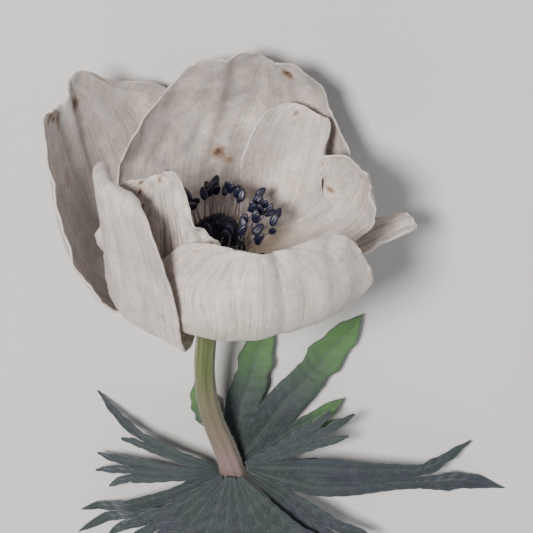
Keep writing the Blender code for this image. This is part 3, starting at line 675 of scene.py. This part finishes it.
def stamenSkins():
    skin, tree = newSkin("filamentSkin")
    mottle = noiseOn(tree, placeOf(tree), 1200.0)
    base = tint(tree, stamens["filamentFoot"], painted(tree, "along"), stamens["filament"])
    base = tint(tree, base, ramp(tree, mottle, (0.45, 0.0), (0.75, 0.6)), stamens["filamentShade"])
    finishSkin(tree, base, 0.45, mottle, (0.3, 0.05), {"Subsurface Weight": 0.1, "Subsurface Scale": 0.0006})

    pollen, tree = newSkin("antherSkin")
    place = placeOf(tree)
    grains = noiseOn(tree, place, 3800.0, 2.0, 0.6)
    tone = noiseOn(tree, place, 330.0, 2.0)
    # painted highlight: lighter blue along the crest of each pollen sac
    base = tint(tree, stamens["anther"], painted(tree, "ridge"), stamens["antherHighlight"])
    base = tint(tree, base, ramp(tree, tone, (0.45, 0.0), (0.72, 0.7)), stamens["antherTone"])
    finishSkin(tree, base, remap(tree, grains, 0.3, 0.7, 0.30, 0.5), grains, (0.35, 0.08), {
        "Sheen Weight": 0.04, "Sheen Tint": (0.35, 0.42, 1.0), "Sheen Roughness": 0.35,
        "Specular IOR Level": 0.55})

    disc, tree = newSkin("discSkin")
    lumps = noiseOn(tree, placeOf(tree), 1500.0)
    base = tint(tree, stamens["disc"], ramp(tree, lumps, (0.4, 0.0), (0.7, 1.0)), stamens["discDark"])
    finishSkin(tree, base, 0.6, lumps, (0.7, 0.3), {"Sheen Weight": 0.1})
    return skin, pollen, disc


# the middle line of each filament, and how its anther lies
def stamenPaths():
    rng = random.Random(stamens["seed"])
    extra = random.Random(stamens["seed"] + 1)
    rootRadius = (centre["ringInner"] + centre["ringOuter"]) / 2
    paths = []
    for index in range(stamens["count"]):
        azimuth = math.tau * (index + rng.uniform(-0.4, 0.4)) / stamens["count"]
        azimuth += stamens["crowding"] * math.cos(azimuth)
        reach = stamens["reach"][0] + (stamens["reach"][1] - stamens["reach"][0]) * rng.random() ** 0.8
        height = stamens["height"] - stamens["droop"] * reach + rng.uniform(-1.1, 1.1)
        sway = azimuth + rng.uniform(-0.2, 0.2)
        root = inCentre(rootRadius * math.cos(azimuth), rootRadius * math.sin(azimuth), stamens["rootHeight"])
        top = inCentre(reach * math.cos(sway), reach * math.sin(sway), height)
        tilt = Matrix.Rotation(rng.uniform(-0.7, 0.7), 3, "X")
        tilt = tilt @ Matrix.Rotation(rng.uniform(-0.5, 0.5), 3, "Y")
        lie = (top - root).to_track_quat("Z", "Y").to_matrix() @ tilt
        bow = (inFlower.to_3x3() @ Vector((0, 0, 1))) * extra.uniform(0.2, 1.0) * stamens["bend"] * mm
        bow += Vector([extra.uniform(-0.4, 0.4) * mm for _ in range(3)])
        foot = top - lie @ Vector((0, 0, stamens["antherFoot"] * mm))
        line = []
        for step in range(stamens["steps"]):
            t = step / (stamens["steps"] - 1)
            line.append(root.lerp(foot, t) + bow * math.sin(math.pi * t))
        paths.append((line, top, lie, extra.uniform(0.86, 1.12)))
    return paths


def filamentTree():
    tree, entry, leave = treeWithInputs(
        "filamentTubes", ("Foot Radius", "Float", 0.0002), ("Sides", "Int", 7), ("Finish", "Material", None))
    line = geoNode(tree, "GeometryNodeMeshToCurve", {"Mesh": entry.outputs["Geometry"]})
    part = geoNode(tree, "GeometryNodeSplineParameter").outputs["Factor"]
    keep = geoNode(tree, "GeometryNodeStoreNamedAttribute", {
        "Geometry": line.outputs["Curve"], "Name": "along", "Value": part}, data_type="FLOAT", domain="POINT")
    slim = addNode(tree, "MapRange", {"Value": part, "To Min": 1.25, "To Max": 0.7})
    ring = geoNode(tree, "GeometryNodeCurvePrimitiveCircle", {
        "Resolution": entry.outputs["Sides"], "Radius": entry.outputs["Foot Radius"]})
    tube = geoNode(tree, "GeometryNodeCurveToMesh", {
        "Curve": keep.outputs["Geometry"], "Profile Curve": ring.outputs["Curve"],
        "Scale": slim.outputs["Result"], "Fill Caps": True})
    return finishTree(tree, tube.outputs["Mesh"], entry.outputs["Finish"], leave)


def antherTree():
    tree, entry, leave = treeWithInputs(
        "antherHeads", ("Shape", "Object", None), ("Finish", "Material", None))
    shape = geoNode(tree, "GeometryNodeObjectInfo", {"Object": entry.outputs["Shape"]})
    turn = geoNode(tree, "GeometryNodeInputNamedAttribute", {"Name": "lie"}, data_type="QUATERNION")
    size = geoNode(tree, "GeometryNodeInputNamedAttribute", {"Name": "size"}, data_type="FLOAT")
    stood = geoNode(tree, "GeometryNodeInstanceOnPoints", {
        "Points": entry.outputs["Geometry"], "Instance": shape.outputs["Geometry"],
        "Rotation": liveSocket(turn.outputs), "Scale": liveSocket(size.outputs)})
    return finishTree(tree, stood.outputs["Instances"], entry.outputs["Finish"], leave)


# one anther: two pollen sacs with a groove between them on both faces
def antherShape():
    bm = bmesh.new()
    bmesh.ops.create_uvsphere(bm, u_segments=18, v_segments=12, radius=1.0)
    ridge = bm.verts.layers.float.new("ridge")
    for vertex in bm.verts:
        x, y, z = vertex.co
        groove = math.exp(-((x / 0.26) ** 2)) * (1 - z * z)
        taper = 1 - 0.14 * z
        # strongest along the crest of each sac, where the painted highlight goes
        vertex[ridge] = clamp(0.9 * math.exp(-(((abs(x) - 0.5) / 0.2) ** 2)) * (1 - z * z) + 0.1)
        wide, deep = taper * stamens["antherWide"], taper * stamens["antherDeep"]
        vertex.co = Vector((x * wide, y * (1 - 0.42 * groove) * deep, z * stamens["antherHalf"])) * mm
    return meshObject("antherShape", bm)


# the disc that the filaments stand on, lumpy with their feet
def buildDisc(skin):
    bm = bmesh.new()
    turns, band = centre["ringGrid"]
    bmesh.ops.create_grid(bm, x_segments=turns, y_segments=band, size=1.0)
    for vertex in bm.verts:
        turn, part = (vertex.co.x + 1) * math.pi, (vertex.co.y + 1) / 2
        wide = centre["ringInner"] + (centre["ringOuter"] - centre["ringInner"]) * part
        lump = 1 + 0.3 * noise.noise(Vector((6 * math.cos(turn), 6 * math.sin(turn), part * 2.5)))
        rise = centre["ringFoot"] + math.sin(math.pi * part) ** 0.6 * centre["ringRise"] * lump
        vertex.co = inCentre(wide * math.cos(turn), wide * math.sin(turn), rise)
    bmesh.ops.remove_doubles(bm, verts=bm.verts[:], dist=0.00001)
    bmesh.ops.recalc_face_normals(bm, faces=bm.faces[:])
    disc = meshObject("stamen_disc", bm, skin)
    solid = disc.modifiers.new("floor", "SOLIDIFY")
    solid.thickness = centre["ringThickness"] * mm
    solid.offset = -1.0
    seat(disc)


def buildStamens():
    filamentSkin, antherSkin, discSkin = stamenSkins()
    paths, steps = stamenPaths(), stamens["steps"]
    lines = bpy.data.meshes.new("filamentLines")
    spots = [spot for line, _, _, _ in paths for spot in line]
    edges = [(i * steps + j, i * steps + j + 1) for i in range(len(paths)) for j in range(steps - 1)]
    lines.from_pydata(spots, edges, [])
    filaments = runTree(linkNew("filamentLines", lines), filamentTree(), {
        "Foot Radius": stamens["filamentRadius"] * mm, "Sides": stamens["filamentSides"],
        "Finish": filamentSkin}, "stamen_filaments")
    heads = bpy.data.meshes.new("antherSpots")
    heads.from_pydata([top for _, top, _, _ in paths], [], [])
    turns = [part for _, _, lie, _ in paths for part in lie.to_quaternion()]
    heads.attributes.new("lie", "QUATERNION", "POINT").data.foreach_set("value", turns)
    sizes = [size for _, _, _, size in paths]
    heads.attributes.new("size", "FLOAT", "POINT").data.foreach_set("value", sizes)
    shape = antherShape()
    anthers = runTree(linkNew("antherSpots", heads), antherTree(), {
        "Shape": shape, "Finish": antherSkin}, "stamen_anthers")
    bpy.data.objects.remove(shape, do_unlink=True)
    smooth(filaments.data)
    smooth(anthers.data)
    seat(anthers, "stamens")
    seat(filaments)
    buildDisc(discSkin)


buildStamens()
print("anemone: stamens made")

# stem

# points (x, y, z, radius) run down the stem, and whorl is the one with the leaves; neck (height, radius) is
# on the flower's own axis; pith (share of the radius, depth) is the rings of the cut end
stem = dict(
    points=((-1.6, -18.5, 24.8, 2.2), (-1.9, -37.0, 17.6, 2.3), (3.4, -56.0, 11.0, 2.7),
            (6.6, -70.0, 9.2, 2.4),
            (8.8, -92.0, 6.6, 2.4), (7.2, -116.0, 4.3, 2.4), (3.0, -139.0, 3.3, 2.5)),
    neck=((0.25, 3.0), (-4.8, 3.0), (-8.5, 2.3)), whorl=2, perKnot=26,
    sides=56, ridges=7, ridgeDepth=0.13, roughDepth=0.10, skinDepth=0.06,
    pith=((0.93, 0.0), (0.62, 0.05), (0.34, 0.22), (0.12, 0.3)),
    green=(0.062, 0.086, 0.024), olive=(0.115, 0.132, 0.045), mauve=(0.190, 0.118, 0.122),
    cut=(0.22, 0.26, 0.11),
    hairs=dict(density=2.2, length=0.6, radius=0.014, tipShare=0.3, sides=3, lean=0.8, spread=0.5, seed=8),
    hair=(0.40, 0.38, 0.33),
)


def stemSkin():
    skin, tree = newSkin("stemSkin")
    place = placeOf(tree)
    tube = addNode(tree, "UVMap", uv_map="tube").outputs["UV"]
    along = addNode(tree, "SeparateXYZ", {"Vector": tube}).outputs["Y"]
    streak = noiseOn(tree, stretch(tree, tube, (26.0, 9.0, 1.0)), 1.0, 3.0)
    cloud = noiseOn(tree, place, 130.0, 3.0)
    grain = noiseOn(tree, place, 2200.0, 2.0)
    base = tint(tree, stem["green"], ramp(tree, streak, (0.38, 0.0), (0.66, 1.0)), stem["olive"])
    # flushed towards the whorl of leaves, a little less so below it
    flush = ramp(tree, along, (0.40, 0.0), (0.54, 0.95), (0.66, 0.6), (0.95, 0.3))
    base = tint(tree, base, times(tree, flush, ramp(tree, cloud, (0.25, 0.72), (0.65, 1.0))), stem["mauve"])
    base = tint(tree, base, painted(tree, "cut"), stem["cut"])
    finishSkin(tree, base, 0.52, addUp(tree, (streak, 0.7), (grain, 0.3)), (0.5, 0.3), {
        "Subsurface Weight": 0.08, "Subsurface Scale": 0.001, "Subsurface Radius": (0.6, 1.0, 0.3),
        "Sheen Weight": 0.25, "Sheen Roughness": 0.45})
    return skin


def hairSkin(name, rgb):
    skin, tree = newSkin(name)
    base = tint(tree, rgb, noiseOn(tree, placeOf(tree), 500.0, 2.0), tuple(c * 0.7 for c in rgb))
    finishSkin(tree, base, 0.55, None, None, {"Sheen Weight": 0.1})
    return skin


# samples the same curve as the solid's: knots with automatic handles
def stemLine():
    flower = flowerMatrix()
    knots = [(flower @ (Vector((0, 0, height)) * mm), radius) for height, radius in stem["neck"]]
    knots += [(Vector((x, y, z)) * mm, radius) for x, y, z, radius in stem["points"]]
    curve = bpy.data.curves.new("stemLine", "CURVE")
    curve.dimensions = "3D"
    curve.resolution_u = stem["perKnot"]
    spline = curve.splines.new("BEZIER")
    spline.bezier_points.add(len(knots) - 1)
    for knot, (spot, _) in zip(spline.bezier_points, knots):
        knot.co = spot
        knot.handle_left_type = knot.handle_right_type = "AUTO"
    holder = linkNew("stemLine", curve)
    bpy.context.view_layer.update()
    mesh = holder.evaluated_get(bpy.context.evaluated_depsgraph_get()).to_mesh()
    line = [v.co.copy() for v in mesh.vertices]
    bpy.data.objects.remove(holder, do_unlink=True)
    radii = []
    for index in range(len(line)):
        part = index / stem["perKnot"]
        low = min(int(part), len(knots) - 2)
        radii.append(knots[low][1] + (knots[low + 1][1] - knots[low][1]) * (part - low))
    return line, radii


def buildStem():
    line, radii = stemLine()
    sides = stem["sides"]
    bm = bmesh.new()
    uvs = bm.loops.layers.uv.new("tube")
    grow = bm.verts.layers.float.new("grow")
    cut = bm.verts.layers.float.new("cut")
    side = Vector((1, 0, 0))
    rings, marks = [], {}

    def band(ring, nextRing):
        pairs = [(i, (i + 1) % sides) for i in range(sides)]
        return [bm.faces.new((ring[i], ring[j], nextRing[j], nextRing[i])) for i, j in pairs]

    for index, spot in enumerate(line):
        ahead = line[min(index + 1, len(line) - 1)] - line[max(index - 1, 0)]
        ahead.normalize()
        side = (side - ahead * side.dot(ahead)).normalized()
        over = ahead.cross(side)
        part = index / (len(line) - 1)
        ring = []
        for turnIndex in range(sides):
            turn = math.tau * turnIndex / sides
            way = side * math.cos(turn) + over * math.sin(turn)
            ridges = stem["ridgeDepth"] * math.cos(stem["ridges"] * turn + 3.0 * part)
            ridges *= clamp(part * 12) * clamp((1 - part) * 60)
            rough = stem["roughDepth"] * noise.noise(way * 1.8 + Vector((0, 0, part * 26)))
            radius = radii[index] + ridges + rough - stem["skinDepth"]
            vertex = bm.verts.new(onTable @ (spot + way * radius * mm))
            vertex[grow] = clamp((part - 0.03) * 14) * clamp((1 - part) * 30)
            vertex[cut] = 0.0
            marks[vertex] = (turnIndex / sides, part)
            ring.append(vertex)
        rings.append(ring)
    for ring, nextRing in zip(rings, rings[1:]):
        for turnIndex, face in enumerate(band(ring, nextRing)):
            for loop in face.loops:
                across, part = marks[loop.vert]
                loop[uvs].uv = (1.0 if across == 0 and turnIndex == sides - 1 else across, part)
    # the flat cut, with a slightly sunk pith
    bm.faces.new(rings[0])
    inner = rings[-1]
    centreSpot = onTable @ line[-1]
    for share, sink in stem["pith"]:
        back = (line[-2] - line[-1]).normalized() * sink * mm
        made = [bm.verts.new(centreSpot + (outer.co - centreSpot) * share + back) for outer in rings[-1]]
        for vertex in made:
            vertex[cut] = 1.0
        band(inner, made)
        inner = made
    bm.faces.new(inner)
    bmesh.ops.recalc_face_normals(bm, faces=bm.faces[:])
    piece = meshObject("stem_tube", bm, stemSkin())
    seat(piece, "stem")
    scatterOn(piece.data, "stem_hairs", stem["hairs"], hairSkin("stemHair", stem["hair"]))


buildStem()
print("anemone: stem made")

# leaves

leafCommon = dict(
    forkRow=0.5, fanFill=0.94, fanRim=20.0, teethCount=2.5, bend=0.3, fold=0.22, waveStep=0.32, shift=0.5,
    narrowest=0.35, roomShare=0.44, openRoom=9.0, solidHalf=0.35,
    rimReach=1.6, rows=96, perFinger=10, lineSteps=10,
    thickness=0.5, ribDepth=0.28, puckers=0.22,
    dark=(0.011, 0.019, 0.019), mid=(0.021, 0.035, 0.031), purple=(0.028, 0.024, 0.044),
    rib=(0.046, 0.064, 0.054), fresh=(0.070, 0.165, 0.040), freshShow=0.0, under=(0.034, 0.046, 0.040),
    bloomDust=(0.070, 0.082, 0.092),
    hairs=dict(density=1.6, length=0.55, radius=0.014, tipShare=0.3, sides=3, lean=0.9, spread=0.5,
               seed=21), hair=(0.26, 0.29, 0.28),
)
# hands: (heading, way to the fork, half width, fingers), and each finger (heading, length, half width)
leaves = {
    "leaf_left": dict(
        side=198.0, out=3.4, drop=0.0, reach=2.2, rise=0.32, sag=0.021, floor=0.0, wave=0.8,
        blunt=2.6, swell=1.2, teeth=0.14, join=0.35,
        hands=((160, 17, 1.7, ((137, 14, 1.6), (170, 5, 1.3))),
               (181, 19, 2.9, ((176, 8, 1.7), (200, 9, 1.9), (226, 7, 1.7))),
               (208, 23, 3.6, ((194, 11, 2.1), (209, 14, 2.3), (227, 9, 2.0))),
               (238, 18, 3.2, ((222, 9, 2.0), (240, 11, 2.2), (258, 7, 1.9))))),
    "leaf_right": dict(
        side=18.0, out=3.4, drop=0.0, reach=2.2, rise=0.28, sag=0.0084, floor=0.0, wave=0.8,
        blunt=3.0, swell=1.1, teeth=0.12, join=0.4,
        hands=((-38, 21, 4.2, ((-57, 10, 2.3), (-39, 15, 2.7), (-20, 11, 2.3))),
               (-4, 38, 3.0, ((-15, 22, 3.1), (29, 14, 1.8))),
               (25, 16, 3.0, ((12, 8, 1.9), (28, 11, 2.1), (46, 7, 1.8))))),
    "leaf_front": dict(
        side=270.0, out=0.6, drop=-3.6, reach=2.6, rise=0.33, sag=0.0115, floor=0.8, wave=0.6,
        blunt=3.0, swell=1.1, teeth=0.12, join=0.75,
        hands=((216, 18, 4.0, ((201, 8, 2.1), (217, 12, 2.5), (235, 8, 2.1))),
               (264, 18, 4.6, ((246, 9, 2.4), (264, 13, 2.8), (282, 9, 2.4))),
               (312, 22, 4.4, ((293, 9, 2.4), (312, 14, 2.8), (331, 9, 2.4))))),
    "leaf_rear": dict(
        side=75.0, out=0.2, drop=3.3, reach=2.6, rise=-0.26, sag=-0.0035, floor=1.2, wave=0.6,
        blunt=4.5, swell=0.9, teeth=0.08, join=0.75, freshShow=0.9,
        hands=((27, 18, 3.1, ((14, 7, 2.0), (33, 9, 2.0))),
               (50, 25, 4.0, ((51, 19, 4.4),)),
               (77, 19, 4.1, ((74, 15, 4.2),)),
               (112, 11, 3.0, ((108, 8, 3.0),)))),
}


def leafSkin(name, leaf, under):
    skin, tree = newSkin(name)
    place = placeOf(tree)
    blade = addNode(tree, "UVMap", uv_map="blade").outputs["UV"]
    along = addNode(tree, "SeparateXYZ", {"Vector": blade}).outputs["Y"]
    cloud = noiseOn(tree, place, 85.0, 4.0, 0.6)
    felt = noiseOn(tree, place, 2400.0, 2.0, 0.7)
    fans = stretch(tree, blade, (6.0, 5.0, 1.0), (leaf["side"], 0.0, 0.0))
    veins = veinLines(tree, fans, 1.0, 1.0, 0.05, (0.0, 0.0, 0.0))
    net = veinLines(tree, place, 260.0, 260.0, 0.05, (0.0, 0.0, 0.4))
    wrinkle = noiseOn(tree, place, 640.0, 4.0, 0.65)
    base = tint(tree, leaf["dark"], ramp(tree, cloud, (0.38, 0.0), (0.64, 1.0)), leaf["mid"])
    flush = ramp(tree, noiseOn(tree, place, 60.0, 3.0), (0.40, 0.0), (0.62, 1.0))
    base = tint(tree, base, flush, leaf["purple"], 0.75)
    if under:
        base = tint(tree, base, 0.6, leaf["under"])
    base = tint(tree, base, ramp(tree, along, (0.35, 0.0), (0.85, 1.0)), leaf["fresh"], leaf["freshShow"])
    margin = ramp(tree, painted(tree, "rim"), (0.6, 0.0), (0.98, 1.0))
    for line, show in ((veins, 0.30), (net, 0.16), (painted(tree, "midRib"), 0.55), (margin, 0.4)):
        base = tint(tree, base, line, leaf["rib"], show)
    # a fine pale dust of felt
    dust = ramp(tree, felt, (0.48, 0.0), (0.66, 1.0))
    dust = times(tree, dust, ramp(tree, wrinkle, (0.3, 0.2), (0.6, 1.0)))
    base = tint(tree, base, dust, leaf["bloomDust"], 0.4)
    height = addUp(tree, (felt, 0.3), (wrinkle, 0.9), (veins, -0.35), (net, -0.2))
    finishSkin(tree, base, 0.66, height, (0.4, 0.25), {
        "Sheen Weight": 0.35, "Sheen Roughness": 0.5, "Sheen Tint": (0.66, 0.74, 0.85),
        "Specular IOR Level": 0.25, "Subsurface Weight": 0.04, "Subsurface Scale": 0.0006})
    return skin


# how far a hand reaches to one side, at a share of the way to its fork
def handSide(leaf, hand, side, share):
    hands = leaf["hands"]
    heading, fork, palm, _ = hands[hand]
    neighbour = hand + side
    step = abs(hands[neighbour][0] - heading) if 0 <= neighbour < len(hands) else leaf["fanRim"]
    opening = math.tan(math.radians(step / 2))
    root = leaf["reach"] * step / 120
    if share < leaf["join"]:
        return root * (1 - share) + share * fork * opening
    k = (share - leaf["join"]) / (1 - leaf["join"])
    start = root * (1 - leaf["join"]) + leaf["join"] * fork * opening
    return start + (palm - start) * k * k * (3 - 2 * k)


def headingVector(degrees):
    return Vector((math.cos(math.radians(degrees)), math.sin(math.radians(degrees))))


# the middle of one finger seen from above: its spot, the way it runs, half its share of the hand, and how far
# beyond the fork it is
def fingerMiddle(leaf, hand, finger, q):
    x, y, _, _ = stem["points"][stem["whorl"]]
    heading, fork, _, fingers = leaf["hands"][hand]
    share = min(q / leaf["forkRow"], 1.0)
    right, left = handSide(leaf, hand, -1, share), handSide(leaf, hand, 1, share)
    sliceHalf = (left + right) / len(fingers) / 2
    run = headingVector(heading)
    side = headingVector(leaf["side"])
    along = (heading - leaf["side"] + 180) % 360 - 180
    flat = Vector((x, y)) + side * leaf["out"]
    flat += Vector((-side.y, side.x)) * (leaf["reach"] * clamp(along / 60, -1.0, 1.0))
    flat += run * (share * fork) + Vector((-run.y, run.x)) * (sliceHalf * (2 * finger + 1) - right)
    late = max(0.0, (q - leaf["forkRow"]) / (1 - leaf["forkRow"]))
    if late > 0:
        tipHeading, length, _ = fingers[finger]
        first = run * (length * leaf["bend"])
        last = headingVector(tipHeading) * (length * (1 - leaf["bend"]))
        flat += first * (2 * late * (1 - late)) + (first + last) * (late * late)
        run = (first * (1 - late) + last * late).normalized()
    return flat, run, sliceHalf, late


# a point of the cut leaf: t runs across one finger, q from the stem to that finger's tip; beside holds the
# lines of the neighbouring fingers, which it keeps clear of
def leafPoint(leaf, hand, finger, beside, t, q):
    heading, fork, _, fingers = leaf["hands"][hand]
    flat, run, sliceHalf, late = fingerMiddle(leaf, hand, finger, q)
    share = min(q / leaf["forkRow"], 1.0)
    across = sliceHalf * leaf["fanFill"]
    away = share * fork
    if late > 0:
        _, length, half = fingers[finger]
        away += late * length
        full = across + (half - across) * math.sin(math.pi / 2 * clamp(late * 2 * leaf["swell"]))
        teeth = 1 - leaf["teeth"] * (1 - math.cos(math.tau * leaf["teethCount"] * late))
        # small uneven notches between the big teeth
        notch = noise.noise(Vector((away * 0.7, 4.0 if t > 0 else -4.0, heading + 9.0 * finger)))
        teeth += 0.8 * leaf["teeth"] * notch * clamp(late * 4)
        room = min([(flat - spot).length for line in beside for spot in line], default=leaf["openRoom"])
        across = min(full * teeth, room * leaf["roomShare"]) * (1 - late ** leaf["blunt"])
        across = max(leaf["narrowest"] * clamp((1 - late) * 12), across)
    flat += Vector((-run.y, run.x)) * (t * across)
    lift = stem["points"][stem["whorl"]][2] - leaf["drop"] + leaf["rise"] * away - leaf["sag"] * away * away
    lift += leaf["wave"] * math.sin(leaf["waveStep"] * away + leaf["shift"] * (hand + finger)) * q
    lift += leaf["fold"] * abs(t) * across * q
    lift = max(lift, leaf["floor"] + leaf["solidHalf"])
    # puckered between the veins, with a sunk middle rib
    free = clamp((lift - leaf["floor"] - leaf["solidHalf"]) / 1.5)
    lift -= leaf["ribDepth"] * math.exp(-((t / 0.16) ** 2)) * clamp(q * 3) * clamp((1 - q) * 4) * free
    ripple = noise.noise(Vector((flat.x / 3.2, flat.y / 3.2, hand * 2.0)))
    lift += leaf["puckers"] * (ripple + 0.6 * math.sin(away * 1.9 - abs(t) * 3.0)) * clamp(q * 3) * free
    onRim = clamp(1 - (1 - abs(t)) * across / leaf["rimReach"])
    outer = (t > 0 and finger == len(fingers) - 1) or (t < 0 and finger == 0)
    rim = onRim * (clamp(late * 6) if not outer else clamp((share - leaf["join"]) * 6))
    rim = max(rim, clamp(1 - (1 - late) * fingers[finger][1] / leaf["rimReach"]))
    middle = math.exp(-((t * max(across, 0.8) / 0.4) ** 2)) * clamp((1 - q) * 6)
    return Vector((flat.x, flat.y, lift)) * mm, rim, middle


def buildLeaf(name):
    leaf = {**leafCommon, **leaves[name]}
    fingers = [(hand, finger) for hand, entry in enumerate(leaf["hands"]) for finger in range(len(entry[3]))]
    perFinger, rows = leaf["perFinger"], leaf["rows"]
    columns = (perFinger + 1) * len(fingers) - 1
    bm = bmesh.new()
    bmesh.ops.create_grid(bm, x_segments=columns, y_segments=rows, size=1.0)
    uvs = bm.loops.layers.uv.new("blade")
    rims = bm.verts.layers.float.new("rim")
    ribs = bm.verts.layers.float.new("midRib")
    grow = bm.verts.layers.float.new("grow")
    marks = {}
    for vertex in bm.verts:
        column = round((vertex.co.x + 1) / 2 * columns)
        row = round((vertex.co.y + 1) / 2 * rows)
        marks[vertex] = (column // (perFinger + 1), column % (perFinger + 1) * 2 / perFinger - 1, row / rows)
    cuts = []
    for face in bm.faces:
        places = sorted({marks[v][0] for v in face.verts})
        if len(places) > 1:
            sameHand = fingers[places[0]][0] == fingers[places[1]][0]
            cut = leaf["forkRow"] * (1.0 if sameHand else leaf["join"])
            if min(marks[v][2] for v in face.verts) >= cut:
                cuts.append(face)
    bmesh.ops.delete(bm, geom=cuts, context="FACES")
    fork, steps = leaf["forkRow"], leaf["lineSteps"]
    spots = [fork + (1 - fork) * i / steps for i in range(steps + 1)]
    lines = [[fingerMiddle(leaf, *finger, spot)[0] for spot in spots] for finger in fingers]
    for vertex in bm.verts:
        place, t, q = marks[vertex]
        beside = lines[max(place - 1, 0):place] + lines[place + 1:place + 2]
        spot, rim, middle = leafPoint(leaf, *fingers[place], beside, t, q)
        vertex.co = onTable @ spot
        vertex[rims] = rim
        vertex[ribs] = middle
        vertex[grow] = clamp(q * 3) * (0.35 + 1.6 * rim)
    for face in bm.faces:
        for loop in face.loops:
            _, t, q = marks[loop.vert]
            loop[uvs].uv = ((t + 1) / 2, q)
    bm.normal_update()
    if sum(f.normal.z * f.calc_area() for f in bm.faces) < 0:
        bmesh.ops.reverse_faces(bm, faces=bm.faces[:])
    top, under = leafSkin(name + "Top", leaf, False), leafSkin(name + "Under", leaf, True)
    piece = meshObject(name + "_blade", bm, top, under)
    scatterOn(piece.data, name + "_hairs", leaf["hairs"], hairSkin(name + "Hair", leaf["hair"]))
    thicken(piece, leaf)
    seat(piece, name)


for leafName in leaves:
    buildLeaf(leafName)
print("anemone: leaves made")

# studio

def buildStage():
    bm = bmesh.new()
    bmesh.ops.create_grid(bm, x_segments=1, y_segments=1, size=studio["floorSize"] / 2)
    skin, tree = newSkin("studioFloor")
    soft = tuple(c * 0.97 for c in studio["floorColour"])
    base = tint(tree, studio["floorColour"], noiseOn(tree, placeOf(tree), 3.0, 2.0), soft)
    finishSkin(tree, base, studio["floorRoughness"], None, None, {"Specular IOR Level": 0.2})
    floor = meshObject("studio_floor", bm, skin)
    world = bpy.data.worlds.new("studioWorld")
    bpy.context.scene.world = world
    world.use_nodes = True
    sky = world.node_tree.nodes["Background"]
    sky.inputs["Color"].default_value = colour(studio["worldColour"])
    sky.inputs["Strength"].default_value = studio["worldStrength"]
    middle = Vector((0.0, 0.03, 0.03))
    for name in ("keyLight", "fillLight", "frontLight"):
        way, distance, size, power, glow = studio[name]
        way = Vector(way).normalized()
        light = bpy.data.lights.new(name, "AREA")
        light.shape = "DISK"
        light.size = size
        light.energy = power
        light.color = glow
        lamp = linkNew(name, light)
        lamp.location = middle + way * distance
        lamp.rotation_euler = way.to_track_quat("Z", "Y").to_euler()


def buildCamera():
    tilt = math.radians(cameraSetup["tilt"])
    toCamera = Vector((0, math.sin(tilt), math.cos(tilt)))
    up = Vector((0, math.cos(tilt), -math.sin(tilt)))
    right = Vector((1, 0, 0))
    size = cameraSetup["imageSize"]
    scale = cameraSetup["viewWidth"] / size
    aside = (cameraSetup["flowerAt"][0] - size / 2) * scale
    above = (size / 2 - cameraSetup["flowerAt"][1]) * scale
    target = Vector((0, 0, flowerPose["baseHeight"])) - right * aside - up * above
    eye = target + toCamera * cameraSetup["distance"]
    data = bpy.data.cameras.new("photoCamera")
    data.lens_unit = "FOV"
    data.angle = 2 * math.atan(cameraSetup["viewWidth"] / 2 / cameraSetup["distance"])
    data.clip_start = 0.01
    camera = linkNew("photoCamera", data)
    turn = Matrix((right, up, toCamera)).transposed().to_4x4()
    camera.matrix_world = onTable @ Matrix.Translation(eye * mm) @ turn
    bpy.context.scene.camera = camera


buildStage()
buildCamera()
print("anemone: studio and camera made")
